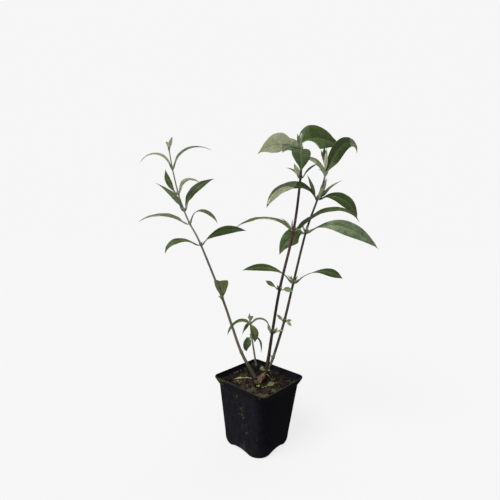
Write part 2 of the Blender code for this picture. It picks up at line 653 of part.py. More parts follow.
def make_limbs(lines, collection, cutters, parent):
    """The old stump, the three canes and the back shoot, each from its foot to its tip's stem."""
    tips = {mass.cane: mass.joint for mass in MASSES}
    middle = lines["middle_cane"]
    fork = middle.joints[STUMP_JOINT]
    barks = {"left_cane": "grey_bark", "middle_cane": "purple_bark", "right_cane": "purple_bark",
             "back_shoot": "grey_bark"}
    feet = []

    def stretch(name, start, end, grow=0.0, home=collection):
        return limb(name, lines[name], start, end, lambda at: cane_radius(name, lines[name], at), home,
                    parent, grow)

    def stump(name, home, grow=0.0):
        return limb(name, middle, -STEM_SINK, fork - GAP / 2, lambda at: stump_radius(middle, at), home,
                    parent, grow)

    old_wood = stump("old_stump", collection)
    old_wood.data.materials.append(finish("old_bark"))
    feet.append(stump("socket", cutters, GAP))
    for name, line in lines.items():
        end = line.joints[tips[name]] - TIP_MARGIN - GAP / 2
        start = {"middle_cane": fork + GAP / 2, "right_cane": -FORK_SINK}.get(name, -STEM_SINK)
        cane = stretch(name, start, end)
        if name == "right_cane":
            near = [stump("near_stump", cutters, GAP), stretch("middle_cane", fork, 2 * fork, GAP, cutters)]
            combine(cane, "DIFFERENCE", near, cutters)
        elif name == "middle_cane":
            combine(cane, "DIFFERENCE", [stump("near_stump", cutters, GAP)], cutters)
        else:
            feet.append(stretch(name, start, SOCKET_REACH, GAP, cutters))
        cane.data.materials.clear()
        cane.data.materials.append(finish(barks[name]))
    return feet


def main():
    """Build the pot, the compost, the limbs and the masses of foliage."""
    collection, cutters = clear_scene()
    plant = bpy.data.objects.new("plant_turn", None)
    plant.rotation_euler.z = PLANT_TURN
    collection.objects.link(plant)
    lines = {name: Line(cane) for name, cane in CANES.items()}
    make_pot(collection, cutters)
    soil = make_soil(collection, cutters, plant)
    feet = make_limbs(lines, collection, cutters, plant)
    combine(soil, "DIFFERENCE", feet, cutters)
    tips = {mass.cane: mass.name for mass in MASSES}
    for number, mass in enumerate(MASSES):
        make_mass(number, mass, lines[mass.cane], tips[mass.cane] == mass.name, collection, cutters, plant)


main()
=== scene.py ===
"""Looks of a young butterfly bush in a square nursery pot, built round its packed model.

The file is laid out as an add-on: sizes and colours are properties of the scene, each group of pieces has
an operator, and a panel in the sidebar lists them. Surfaces are grids of points that numpy works out: rings
carried along a path, or rings round a square.
"""
import itertools
import math
import random
from collections import namedtuple

import bpy
import numpy as np
from bpy.props import FloatProperty, FloatVectorProperty, IntProperty, PointerProperty
from mathutils import Matrix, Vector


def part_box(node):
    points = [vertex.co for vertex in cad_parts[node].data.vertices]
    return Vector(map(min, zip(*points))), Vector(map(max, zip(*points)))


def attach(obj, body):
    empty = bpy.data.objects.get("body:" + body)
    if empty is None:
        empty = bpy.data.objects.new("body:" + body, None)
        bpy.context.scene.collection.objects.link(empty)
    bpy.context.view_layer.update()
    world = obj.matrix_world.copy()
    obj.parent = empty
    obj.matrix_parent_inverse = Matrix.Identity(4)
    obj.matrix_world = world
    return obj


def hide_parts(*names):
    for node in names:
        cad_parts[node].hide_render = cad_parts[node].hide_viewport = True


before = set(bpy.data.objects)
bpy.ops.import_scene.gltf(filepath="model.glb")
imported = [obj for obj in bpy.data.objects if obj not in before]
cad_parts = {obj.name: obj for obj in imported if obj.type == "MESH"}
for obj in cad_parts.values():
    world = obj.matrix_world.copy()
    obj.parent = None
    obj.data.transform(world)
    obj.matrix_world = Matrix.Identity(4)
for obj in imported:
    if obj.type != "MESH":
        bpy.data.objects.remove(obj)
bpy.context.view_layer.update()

bl_info = {
    "name": "Potted Butterfly Bush",
    "version": (1, 0, 0),
    "blender": (4, 5, 0),
    "location": "3D View > Sidebar > Bush",
    "description": "Builds the bark, leaves, compost and pot of a young butterfly bush",
    "category": "Object",
}

MM = 0.001
BODY = "root"

# The plant's turn in its pot
PLANT_TURN = math.radians(41)
TURN = np.array(Matrix.Rotation(PLANT_TURN, 3, "Z"))

# The pot, as its solid has it
POT_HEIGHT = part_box("pot")[1].z
RIM_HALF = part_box("pot")[1].x
RIM_CORNER = 8 * MM
RIM_BAND = 1.8 * MM
RIM_ROUND = 0.7 * MM
# Width of the rim's top edge line: dried dirt, and also a painted highlight along the edge
RIM_DIRT_AND_HIGHLIGHT = 1.0 * MM
LIP_DROP = 9.9 * MM
LIP_CURVE = 0.85
NECK_HALF = 41.8 * MM
NECK_CORNER = 12.5 * MM
BASE_HALF = 35.8 * MM
BASE_CORNER = 17 * MM
BASE_BLEND = 12 * MM
BASE_INSET = 3.6 * MM
POT_WALL = 1.2 * MM
ARCH_WIDTH = 32 * MM
ARCH_HEIGHT = 5.0 * MM
ARCH_DEPTH = 9 * MM
ARCH_FADE = 24 * MM
CORNER_CELLS = 14
SIDE_CELLS = 56
WALL_CELLS = (13, 29, 13, 3)
BEAD_CELLS = 12
BEAD_SWELL = 0.35 * MM
HUB_HALF = 2 * MM
FLOOR_HALVES = (12 * MM, 22 * MM)
FLOOR_CORNER = 0.45

# The compost's level, its heap behind the stems, and its dip at the right-hand corner
SOIL_LEVEL = POT_HEIGHT - 8.6 * MM
SOIL_HEAP = 6.0 * MM
SOIL_HEAP_AT = (-12 * MM, 32 * MM)
SOIL_HEAP_SPREAD = 24 * MM
SOIL_DIP = 2.6 * MM
SOIL_DIP_AT = (52 * MM, 0.0)
SOIL_DIP_SPREAD = 20 * MM
SOIL_GAP = 0.25 * MM
SOIL_RINGS = 90
DUSTY_CORNER = (31 * MM, -31 * MM)
DUSTY_SPREAD = 9 * MM
GROUND_START = 0.01
GROUND_EDGE = 8 * MM
GROUND_LUMPS = ((0.9, 9 * MM, 1), (0.6, 3.5 * MM, 2), (0.3, 1.4 * MM, 3))

# Chips: their form as ranges of length, width and height, their sizes, and where they don't lie
CHIP_SEED = 5
CHIP_RINGS = (-0.85, -0.35, 0.35, 0.85)
CHIP_POINTS = 7
CHIP_FORM = ((0.7, 1.3), (0.35, 0.8), (0.14, 0.4))
CHIP_PUSH = 0.28
CHIP_TILT = 0.45
CHIP_SIZES = (-0.6, 0.62)
CHIP_SIZE_RANGE = (0.2, 2.6)
CHIP_LIFT = 0.25
CHIP_INSET = 1 * MM
CHIP_CORNER = 0.8 * MM
CHIP_WALL = 0.2 * MM
CHIP_BORDER = 6 * MM
CHIP_DROP = 4 * MM
CLEAR_SPOTS = ((-1.3, -17), (-1.7, -15), (21, -9), (16, -14), (12, -20))
CLEAR_REACH = 3.4 * MM
CLEAR_CHIP = 1.5 * MM

# The chips' colours: dust and moss in patches, and the rest by chance
CHIP_KINDS = ("dark", "brown", "dusty", "pale", "moss")
DUST_PATCH = 8 * MM
MOSS_PATCH = 12 * MM
PATCH_BLUR = 0.3
DUST_LEVEL = 0.5
MOSS_LEVEL = 0.45
DARK_SHARE = 0.62
PALE_SHARE = 0.025
PALE_CHIP = 2.6 * MM

# Fibres, in millimetres
FIBRE_SEED = 17
FIBRE_BORDER = 5 * MM
FIBRE_POINTS = 9
FIBRE_SPAN = (3, 11)
FIBRE_BEND = 1.6
FIBRE_RISE = (0.3, 1.3)
FIBRE_RADIUS = (0.12, 0.3)

# Limbs and joints
TAPER_POWER = 1.4
FLARE_SHARE = 0.06
STEM_SINK = 4.5 * MM
STUMP_JOINT = "fork"
STUMP_FOOT_RADIUS = 4.3
STUMP_TOP_RADIUS = 2.9
TIP_MARGIN = 9 * MM
RING_WALL = 1.15 * MM
BARK_CELL = 0.8 * MM
BARK_TURNS = 28
BARK_CORNERS = 0.045
LINE_CELLS = 24
JOINT_SWELL = (0.8, 2.1)
JOINT_RIDGE = (0.25, 0.3, 0.45)
BARE_JOINT = 0.55
FOOT_START = -3 * MM
SHOOT_OVERLAP = 0.5 * MM
BUD_SEED = 23
BUD_LEAN = (18, 34)
BUD_LENGTH = (3.2, 5.0)
BUD_WIDTH = (1.5, 2.1)
BUD_REACH = 0.75
BUD_RINGS = 9
BUD_TURNS = 8

# Leaves
ROLL_SHARE = 0.26
LEAF_FOLD = math.radians(16)
LEAF_ROOT_SINK = 1.5 * MM
LEAF_CELL = 0.85
CELLS_ALONG = (10, 140)
CELLS_ACROSS = (2, 14)
STALK_HALF = 0.95 * MM
STALK_WIDTH = 2.6 * STALK_HALF
STALK_THICKNESS = 1.1 * MM
STALK_FADE = 17 * MM
STALK_ROOT = 4 * MM
STALK_LEAF = 60
STALK_TAPER = 0.6
GROWN_HALF = 3 * MM
TIP_HALF = 0.12 * MM
BLADE_THICKNESS = 0.34 * MM
RIB_THICKNESS = 0.95 * MM
RIB_HALF = 0.55 * MM
RIB_STRIPE = 0.75 * MM
VEIN_HALF = 0.5 * MM
VEIN_LEAN = 0.85
VEIN_PAIRS = 15
VEIN_SPACING = (2.4, 6)
VEIN_THICKNESS = 0.14 * MM
EDGE_WAVE = 0.13
EDGE_WAVE_STEP = 11 * MM
QUILT_HALF = 5 * MM
DENT_SIZE = 7 * MM
TOOTH_PITCH = 2.9 * MM
LEAF_TAPER = 1.15
YOUNG_LENGTH = 20
YOUNG_RISE = 20
TIP_REACH = 0.5
RING_REACH = 0.6
TUFT_REACH = 0.7
OVER_SHARES = [0, 0.42, 0.55, 0.85, 1]
OVER_EDGES = [-1.1, -1.1, 0.1, 0.5, 1]

# Two young leaves in each axil: their angle from the leaf there, length, width, climb and droop. The solids
# have the first kind too.
Tuft = namedtuple("Tuft", "seed spread length width climb droop")
AXIL_TUFT = Tuft(11, (21, 49), (9, 15), (2.4, 3.6), (62, 80), (10, 60))
FINE_TUFT = Tuft(100, (15, 60), (3.5, 6.5), (1.5, 2.2), (66, 88), (-20, 30))

# Surfaces: scales of the patterns, the levels where patches and specks set in, and the pot's faces in metres
MOTTLE_EDGES = (0.4, 0.61)
SPECK_EDGES = (1.22, 1.34)
SPECK_PATCHES = 0.09
LEAF_PATCHES = 60.0
LEAF_SPOTS = 210.0
LEAF_NET = 620.0
LEAF_NET_LINE = 0.16
LEAF_NET_SHARE = 0.2
POT_PATCHES = 230.0
POT_DUST = 900.0
POT_SPECKS = 420.0
POT_GRAIN = 1500.0
# Dust as well as painted light: faces short of the right face are paler, as the lit side; the right face
# stays dark, as painted shade, with less dust and fewer specks
LIT_DUSTY_FACE = (0.026, 0.036)
CLEAN_FACE = (0.005, 0.04)
DUSTY_FOOT = (0.012, 0.055)
SPECKED_FRONT = (-0.046, -0.03)

Step = namedtuple("Step", "joint length lean bearing")
Cane = namedtuple("Cane", "foot foot_radius tip_radius flare steps")
Leaf = namedtuple(
    "Leaf", "bearing length width climb droop swing roll twist bend petiole full rise tone over tip",
    defaults=(0, 0, 0, 1.0, 0.13, 0.75, 0, None, 0, 1))
Mass = namedtuple("Mass", "name cane joint leaves axils", defaults=(0,))

# Lengths and radii here are in millimetres, leans and bearings in degrees; a bearing of 0 is the plant's
# right, and 90 is its back. These are the rows that the solids grow from. A leaf's long row has its bearing,
# length, width, climb, droop, swing, roll, twist, bend, petiole and fullness, in this order.
CANES = {
    "left_cane": Cane((-4.1, 3.0, -6.8), 3.0, 0.75, 0.5, [
        Step("L0", 42.7, 30.5, 175), Step("L1", 40.4, 22.4, 169), Step("L2", 39.7, 22.0, 168),
        Step("L3", 80.9, 24.9, 168), Step("L4", 33.4, 30.6, 170), Step("L5", 20.5, 26.4, 167),
        Step("L6", 25.0, 22.9, 162), Step("L7", 36.5, 16.2, 163), Step("L8", 28.8, 12.9, 162)]),
    "middle_cane": Cane((0.6, -6.0, -7.6), 2.8, 1.45, 0.65, [
        Step("fork", 20.0, 33.0, 35), Step("M1", 53.5, 6.6, -10), Step("M2", 60.7, 7.2, -15),
        Step("M3", 81.5, 10.6, -8), Step("M4", 69.5, 5.1, -29), Step("M5", 35.7, 2.0, -128),
        Step("M6", 12.0, 6.0, 150)]),
    "right_cane": Cane((12.6, 0.6, 12.2), 1.9, 1.0, 0.1, [
        Step("R0", 14.8, 23.2, 10), Step("R1", 54.1, 14.4, 4), Step("R2", 54.0, 10.6, 0),
        Step("R3", 70.0, 11.1, -9), Step("R4", 47.1, 16.5, -9), Step("R5", 34.5, 16.9, 24),
        Step("R6", 31.5, 26.0, 96)]),
    "back_shoot": Cane((-2.7, 28.0, -2.8), 1.6, 0.9, 0.3, [
        Step("S2", 51.6, 11.5, -157), Step("S1", 19.4, 8.3, -159), Step("S0", 5.0, 8.0, 120)]),
}
MASSES = [
    Mass("left_leaves_1", "left_cane", "L2", [
        Leaf(97, 63, 20.3, 65, 109, 11, -12, 18, 1.02, 0, 0.89, tone="mid"),
        Leaf(-100, 14, 7, 55, 60, tone="fold")]),
    Mass("left_leaves_2", "left_cane", "L3", [
        Leaf(41, 80, 12.8, 53, 65, -17, 86, 5, 0.81, 0.1, 0.99, tone="mid"),
        Leaf(-163, 57, 9.8, 25, 107, 17, -31, -6, 1.64, 0, 1.24, tone="mid")]),
    Mass("left_leaves_3", "left_cane", "L4", [
        Leaf(-162, 75, 18, 32, 63, -38, 1, 19, 1.01, 0.14, 0.43, tone="young", over=1),
        Leaf(-57, 64, 6, 90, 157, 55, 86, 36, 0.82, 0.24, 1.5)]),
    Mass("left_leaves_4", "left_cane", "L5", [
        Leaf(6, 70, 15.3, 89, 72, 37, 23, 36, 0.79, 0.04, 0.63, tone="deep"),
        Leaf(-138, 54, 7.6, 72, 49, -44, -75, -69, 0.7, 0, 0.77, tone="fold")]),
    Mass("left_leaves_5", "left_cane", "L6", [
        Leaf(143, 52, 9.5, 32, -37, -18, -31, 35, 1.19, 0.03, 1.18, tone="mid"),
        Leaf(-56, 48, 9, 73, 115, 52, 9, -41, 1.2, 0.04, 1.14, tone="young"), Leaf(60, 14, 3, 70, 20)]),
    Mass("left_top", "left_cane", "L7", [
        Leaf(20, 74, 10, 84, 105, roll=20), Leaf(-152, 58, 10, 80, 147, swing=-4),
        Leaf(118, 26, 5.5, 72, 60, rise=27), Leaf(-62, 24, 5, 74, 60, rise=27),
        Leaf(28, 13, 3, 84, 20, rise=28), Leaf(-152, 12, 3, 84, 20, rise=28)]),
    Mass("middle_leaves_1", "middle_cane", "M1", [
        Leaf(-22, 16, 3.4, 42, 40, roll=40), Leaf(175, 15, 4.4, 70, -8, roll=-75),
        Leaf(10, 9, 3.4, 62, 0, roll=70)]),
    Mass("middle_leaves_2", "middle_cane", "M2", [
        Leaf(168, 21, 6, 42, 20, roll=-70, full=1.3),
        Leaf(-12, 16, 7, 24, 64, roll=60, petiole=0.1, full=0.9, tone="fold"),
        Leaf(175, 7, 2.8, 84, 0, roll=-60)]),
    Mass("middle_leaves_3", "middle_cane", "M3", [
        Leaf(133, 109, 16.4, 40, 75, 23, 14, -64, 0.85, 0.04, 0.56, tone="mid"),
        Leaf(-22, 96, 22, 43, 102, 27, -20, 70, 2, 0.02, 0.74, over=1),
        Leaf(-150, 15, 3.8, 76, -28, roll=-60), Leaf(-8, 14, 6, 60, 60, roll=50),
        Leaf(-48, 12, 5, 44, 80, roll=30), Leaf(-14, 25, 3.4, 56, 12, roll=60),
        Leaf(-160, 24, 3.4, 68, 50)]),
    Mass("middle_leaves_4", "middle_cane", "M4", [
        Leaf(-145, 20, 7, 64, 10, roll=40, tone="young"),
        Leaf(165, 23, 3.2, 71, 66, roll=-50, tone="young"), Leaf(-20, 31, 3.8, 64, 50, roll=60, tone="mid"),
        Leaf(100, 30, 7, 62, 70, tone="mid")]),
    Mass("middle_top", "middle_cane", "M5", [
        Leaf(-157, 66, 26.9, 18, 68, -1, 56, -16, 1.31, 0.21, 0.7),
        Leaf(-101, 54, 23.2, 21, 91, 10, 9, -39, 0.44, 0.12, 0.82),
        Leaf(38, 79, 37.8, 27, 60, -17, 73, -12, 1.17, 0.05, 0.53, rise=11, tone="mid"),
        Leaf(108, 44, 18, 50, 90, rise=6), Leaf(168, 19, 5.5, 74, 0, roll=-65, rise=3, tone="grey"),
        Leaf(-60, 14, 4.4, 86, 0, rise=11, tone="grey"),
        Leaf(-151, 39, 17.5, 19, 76, 28, 86, 78, 1.19, 0, 0.75, tone="fold")]),
    Mass("right_leaves_1", "right_cane", "R1", [
        Leaf(165, 13, 4.4, 54, 22, roll=-70), Leaf(-22, 10, 4.4, -14, 46, roll=65),
        Leaf(20, 9, 3.6, 14, 14, roll=60)]),
    Mass("right_leaves_2", "right_cane", "R2", [
        Leaf(-178, 76, 10.2, 64, 88, -8, -62, -48, 0.7, 0.16, 1.29, tone="mid"),
        Leaf(-6, 71, 11.4, 52, 88, 7, 66, 8, 1.01, 0.3, 1.67), Leaf(170, 11, 3.6, 82, 0, roll=-60)], 1),
    Mass("right_leaves_3", "right_cane", "R3", [
        Leaf(-42, 103, 19.6, 47, 94, 19, 49, 94, 0.68, 0.05, 1.39, tone="fold"),
        Leaf(166, 49, 22.7, 3, 80, -13, -87, -28, 0.72, 0, 0.64, tone="grey")], 1),
    Mass("right_leaves_4", "right_cane", "R4", [
        Leaf(-136, 91, 16.9, 48, 121, -55, -11, 87, 1.03, 0.01, 1.26, over=1, tip=0.45),
        Leaf(-3, 67, 17.4, 50, 120, 12, 73, 10, 0.63, 0.03, 1.2),
        Leaf(150, 37, 4.8, 71, 8, roll=-60, tone="grey"),
        Leaf(10, 26, 6.4, 78, 14, roll=70, rise=5, tone="young"), Leaf(-60, 20, 7, 72, 23, tone="young"),
        Leaf(5, 41, 3.6, 60, 36, roll=50, tone="grey"), Leaf(-14, 23, 6.4, 60, 24, roll=62, tone="deep")]),
    Mass("right_top", "right_cane", "R5", [
        Leaf(10, 83, 20.3, 68, 169, 20, 85, 2, 3.3, 0, 0.92, tip=0.74),
        Leaf(174, 43, 6.1, 71, 94, 10, 84, -8, 1.43, 0, 0.97, tone="young", over=1),
        Leaf(-100, 34, 5, 84, 6, rise=2, tone="young"), Leaf(80, 24, 5, 80, 20, rise=22, tone="fold"),
        Leaf(170, 13, 4, 84, 20, roll=-60, rise=26), Leaf(20, 12, 4, 84, 20, roll=60, rise=26)], 1),
    Mass("back_shoot_leaves", "back_shoot", "S2", [
        Leaf(-146, 23.4, 12.8, -35, 96, 31, -88, 35, 1.35, 0.01, 0.81, tone="grey"),
        Leaf(-44, 35, 4.1, 38, 147, -28, -17, 1, 0.93, 0, 0.94)]),
    Mass("back_shoot_top", "back_shoot", "S1", [
        Leaf(148, 47, 13.6, 44, 123, 38, 20, -71, 0.64, 0.05, 0.68),
        Leaf(-3, 41, 6.1, 56, 156, -41, 12, -3, 1.3, 0.02, 0.54),
        Leaf(-136, 22.1, 7.3, 7, 79, 21, -82, -19, 0.91, 0.01, 0.91),
        Leaf(-71, 32, 12.3, 6, 107, 11, 7, -10, 0.95, 0.04, 1.24), Leaf(90, 34, 8, 45, 90),
        Leaf(150, 12, 3.4, 80, -10, roll=-50, rise=4), Leaf(-60, 6, 2.4, 80, 10, rise=4)]),
]

# What lies on the compost: a piece, its skin, and its leaves with their places: right, back, and height
LITTER = [
    ("fallen_dry_leaf", "dry_leaf", [
        (-20, -1, 4.2, Leaf(182, 15, 3.4, 4, 20, swing=12, roll=-25, twist=30)),
        (-29, -5, 3.2, Leaf(262, 5, 1.2, 5, 10))]),
    ("dry_stalk", "dry_stalk", [
        (-10, -2, 3.2, Leaf(166, 11, 2.0, 12, 24, swing=10, roll=-25, petiole=0.4))]),
    ("fallen_green_leaf", "fallen_leaf", [
        (21, -9, 3.0, Leaf(232, 14, 7, 6, 24, swing=-46, roll=-25)),
        (12.5, -18, 1.6, Leaf(172, 7, 3.2, 5, 10))]),
    ("felted_curls", "felted_curl", [
        (6.5, -2.5, 18, Leaf(165, 7.5, 5.4, 62, 130, roll=-50)),
        (4, -1, 17, Leaf(120, 6, 4, 50, 120))]),
    ("joint_leaves", "fallen_leaf", [
        (10, -2, 17.5, Leaf(10, 6, 3.4, 10, 60, roll=40)),
        (8, -3, 18, Leaf(185, 5, 3, 30, 60, roll=-40))]),
    ("fallen_stalk", "fallen_stalk", [(9.5, -4, 13, Leaf(-28, 13, 1.9, -12, 62, petiole=0.99))]),
    ("bare_root", "bare_root", [(-2.5, 26.5, 2.2, Leaf(188, 6.5, 2.6, 10, 40, petiole=0.4))]),
]
LITTER_SEED = 77

# Each skin's colour, the colour of its veins and their share, and its roughness
LITTER_SKINS = {
    "dry_leaf": ("straw", "pink", 0.5, 0.8), "fallen_leaf": ("lime", "straw", 0.4, 0.7),
    "felted_curl": ("felt", "felt", 0.2, 0.85), "fallen_stalk": ("stalk", "stalk", 0.2, 0.85),
    "bare_root": ("root", "root", 0.2, 0.85), "dry_stalk": ("pink", "straw", 0.3, 0.85),
}

# Fallen buds: right, back, above the compost, and length; each is a little narrower than it is long
FALLEN_BUDS = [(-1.4, -17, 1.4, 3.8), (-3.6, -15, 0.8, 2.4), (4, -22, 1.8, 2.4), (8, -24, 1.6, 2.0)]
FALLEN_BUD_AHEAD = (0.5, -0.4, 0.6)
FALLEN_BUD_WIDTH = 0.8

# Which leaf colour the masses of each cane take
CANE_TONES = {"left_cane": "grey", "middle_cane": "deep", "right_cane": "deep", "back_shoot": "mid"}
# The grey fold is painted shade: the underside's colour where it lies in shadow
LEAF_FINISHES = ["deep", "mid", "grey", "fold", "young", "under"]

# Each cane's bark: its slot, its material's name, its two colours, the scale and amount of their patches, its
# roughness, and the zones of height in metres where the first colour turns into another
Bark = namedtuple("Bark", "slot material first second scale amount roughness zones", defaults=((),))
BARKS = {
    "left_cane": Bark("grey_bark", "bark_brown", "brown", "grey_dark", 700.0, 0.4, 0.8,
                      [(0.10, 0.115, "grey"), (0.26, 0.29, "grey_pale")]),
    "middle_cane": Bark("purple_bark", "bark_purple", "olive", "purple_dark", 600.0, 0.8, 0.7,
                        [(0.15, 0.19, "purple"), (0.21, 0.25, "rose")]),
    "right_cane": Bark("purple_bark", "bark_olive", "moss", "purple_dark", 600.0, 0.6, 0.7,
                       [(0.120, 0.128, "brown"), (0.30, 0.33, "brown_pale")]),
    "back_shoot": Bark("grey_bark", "bark_grey", "grey_pale", "grey_dark", 800.0, 0.7, 0.85),
}

# Relief of bark: how far its lumps spread round a limb, their step along it, and their size in that space
RIDGES = (2.2, 14 * MM, 0.6)
KNOTS = (1.0, 3 * MM, 0.7)
BARK_GRAIN = (1, 1, 0.14)
STUMP_GRAIN = (1, 1, 0.35)
SHOOT_GRAIN = (1, 1, 0.3)
SHOOT_SEED = 50
# The level above which the stump's faces take the painted shade
STUMP_SHADE_LEVEL = 0.45
STUMP_OVERLAP = 1.2 * MM
STUMP_SEED = 31

# The knob on the stump: its height in millimetres, its place and its spread as shares of the stump's length
STUMP_KNOB = (0.5, 0.35, 0.22)

# The photo's camera: its place in the plant's own frame, its tilt and roll, and its focal length in pixels
CAMERA_AT = (-19.2 * MM, -455 * MM, POT_HEIGHT + 201 * MM)
CAMERA_DIP = math.radians(3.5)
CAMERA_ROLL = math.radians(2.17)
FOCAL_PIXELS = 338
PHOTO_PIXELS = 500
SENSOR = 36
CAMERA_NEAR = 0.01

# The suns: how wide they are, and each one's azimuth and height in degrees
SUN_ANGLE = math.radians(32)
KEY_FROM = (-135, 52)
FILL_FROM = (60, 50)


def srgb(red, green, blue):
    """Linear colour of a display colour given in 0 to 255."""
    shown = np.array([red, green, blue]) / 255
    return tuple(np.where(shown <= 0.04045, shown / 12.92, ((shown + 0.055) / 1.055) ** 2.4))


def colour(name, red, green, blue):
    """A colour property with a default given as a display colour."""
    return FloatVectorProperty(name=name, description=name + " colour", subtype="COLOR", size=3, min=0, max=1,
                               default=srgb(red, green, blue))


def length(name, metres):
    """A length property."""
    return FloatProperty(name=name, description=name, default=metres, min=0, unit="LENGTH")


class PotSettings(bpy.types.PropertyGroup):
    """Sizes and colours of the nursery pot."""

    wall: length("Wall", POT_WALL)
    plastic: colour("Plastic", 13, 13, 17)
    # The film and the worn patches: dust, and the painted light of the faces away from the right
    lit_dusty_film: colour("Dusty plastic with painted light", 24, 24, 29)
    lit_worn: colour("Worn plastic with painted light", 38, 38, 43)
    dust: colour("Dust", 50, 50, 48)
    dirt: colour("Dried algae", 84, 80, 52)
    # Olive line along the rim's top edge: dirt and painted highlight
    edge: colour("Rim dirt", 62, 62, 46)


class CompostSettings(bpy.types.PropertyGroup):
    """The compost's chips and colours."""

    chips: IntProperty(name="Chips", description="Number of bark chips", default=2300, min=0)
    chip: length("Chip", 3.3 * MM)
    fibres: IntProperty(name="Fibres", description="Number of fibres", default=260, min=0)
    ground: colour("Ground", 16, 12, 11)
    dark: colour("Dark bark", 34, 27, 24)
    brown: colour("Brown bark", 58, 46, 38)
    dusty: colour("Dusty bark", 88, 82, 60)
    moss: colour("Mossy bark", 62, 62, 42)
    pale: colour("Pale fibre", 104, 96, 78)


class CaneSettings(bpy.types.PropertyGroup):
    """Colours of the bark."""

    stump: colour("Old bark", 116, 92, 72)
    stump_dark: colour("Old bark, dark", 62, 46, 36)
    # Painted shade on the stump's side away from the light
    stump_painted_shade: colour("Old bark, blackened", 40, 31, 26)
    purple: colour("Purple bark", 50, 38, 34)
    purple_dark: colour("Purple bark, dark", 34, 24, 24)
    olive: colour("Olive bark", 62, 54, 40)
    rose: colour("Rosy bark", 98, 72, 72)
    brown: colour("Brown bark", 82, 74, 60)
    brown_pale: colour("Brown bark, pale", 112, 104, 94)
    moss: colour("Mossy bark", 112, 112, 82)
    grey: colour("Grey bark", 108, 101, 88)
    grey_pale: colour("Grey bark, pale", 146, 142, 128)
    grey_dark: colour("Grey bark, dark", 80, 72, 62)
    shoot: colour("Young shoot", 132, 140, 108)


class LeafSettings(bpy.types.PropertyGroup):
    """Relief and colours of the leaves."""

    quilt: length("Quilting", 0.45 * MM)
    dent: length("Dents", 0.5 * MM)
    tooth: length("Tooth", 0.32 * MM)
    deep: colour("Deep green", 52, 68, 26)
    mid: colour("Mid green", 66, 84, 36)
    grey: colour("Grey green", 88, 104, 66)
    # Painted shade: the felted underside as it looks in shadow, on both faces of leaves of this tone and on
    # tops beyond a leaf's tip share
    fold: colour("Grey fold, painted shade", 112, 127, 95)
    young: colour("Young green", 120, 132, 96)
    under: colour("Felted underside", 208, 213, 174)
    vein: colour("Vein", 128, 144, 96)
    vein_under: colour("Vein of the underside", 92, 104, 66)


class LitterSettings(bpy.types.PropertyGroup):
    """Colours of what lies on the compost."""

    straw: colour("Dry leaf", 152, 146, 106)
    pink: colour("Dry stalk", 164, 140, 132)
    lime: colour("Fallen leaf", 98, 108, 66)
    bud: colour("Bud", 142, 154, 88)
    felt: colour("Felted curl", 100, 112, 88)
    stalk: colour("Fallen stalk", 104, 110, 86)
    root: colour("Bare root", 124, 118, 110)


class StageSettings(bpy.types.PropertyGroup):
    """The floor and the light."""

    floor: length("Floor", 6.0)
    pale: colour("Floor and backdrop", 246, 246, 246)
    dim: colour("Floor's own shade", 100, 100, 100)
    glow: FloatProperty(name="Floor glow", description="Floor light that only the camera sees", default=0.859)
    bounce: FloatProperty(name="Floor bounce", description="Floor light on the bush", default=0.575)
    key: FloatProperty(name="Key light", description="Strength of the soft light from the left", default=2.7)
    fill: FloatProperty(name="Fill light", description="Strength of the light from the right", default=0.25)
    sky: FloatProperty(name="Surround", description="Strength of the light from all round", default=0.33)


def turned(points):
    """Points of the plant's own frame, turned to the pot's."""
    return points @ TURN.T


def lattice(cells, seed):
    """A number from 0 to 1 for each cell of a cubic lattice, from the sine of its mixed coordinates."""
    mixed = np.sin(cells @ np.array([12.9898, 78.233, 37.719]) + 17.1 * seed) * 4375.85
    return mixed - np.floor(mixed)


def lumps(points, size, seed=0):
    """Smooth relief from -1 to 1: numbers at a lattice's corners, eased into each other along each axis."""
    place = np.asarray(points) / size
    cell = np.floor(place)
    ease = place - cell
    ease = ease * ease * (3 - 2 * ease)
    total = 0.0
    for corner in itertools.product((0, 1), repeat=3):
        weight = np.prod(np.where(corner, ease, 1 - ease), axis=-1)
        total = total + weight * lattice(cell + np.array(corner), seed)
    return 2 * total - 1


def unit(vectors):
    """Vectors at length 1."""
    return vectors / np.linalg.norm(vectors, axis=-1, keepdims=True)


def sweep(path, radii, turns):
    """Rings along a path: a circle square to it at each point, of one radius or of one in each direction."""
    ahead = unit(np.gradient(path, axis=0))
    guide = np.eye(3)[np.argmin(np.abs(path[-1] - path[0]))]
    first = unit(guide - (ahead @ guide)[:, None] * ahead)
    second = np.cross(ahead, first)
    angle = np.linspace(0, 2 * np.pi, turns, endpoint=False)[None, :, None]
    spokes = first[:, None] * np.cos(angle) + second[:, None] * np.sin(angle)
    return path[:, None] + spokes * np.reshape(radii, (len(path), -1, 1))


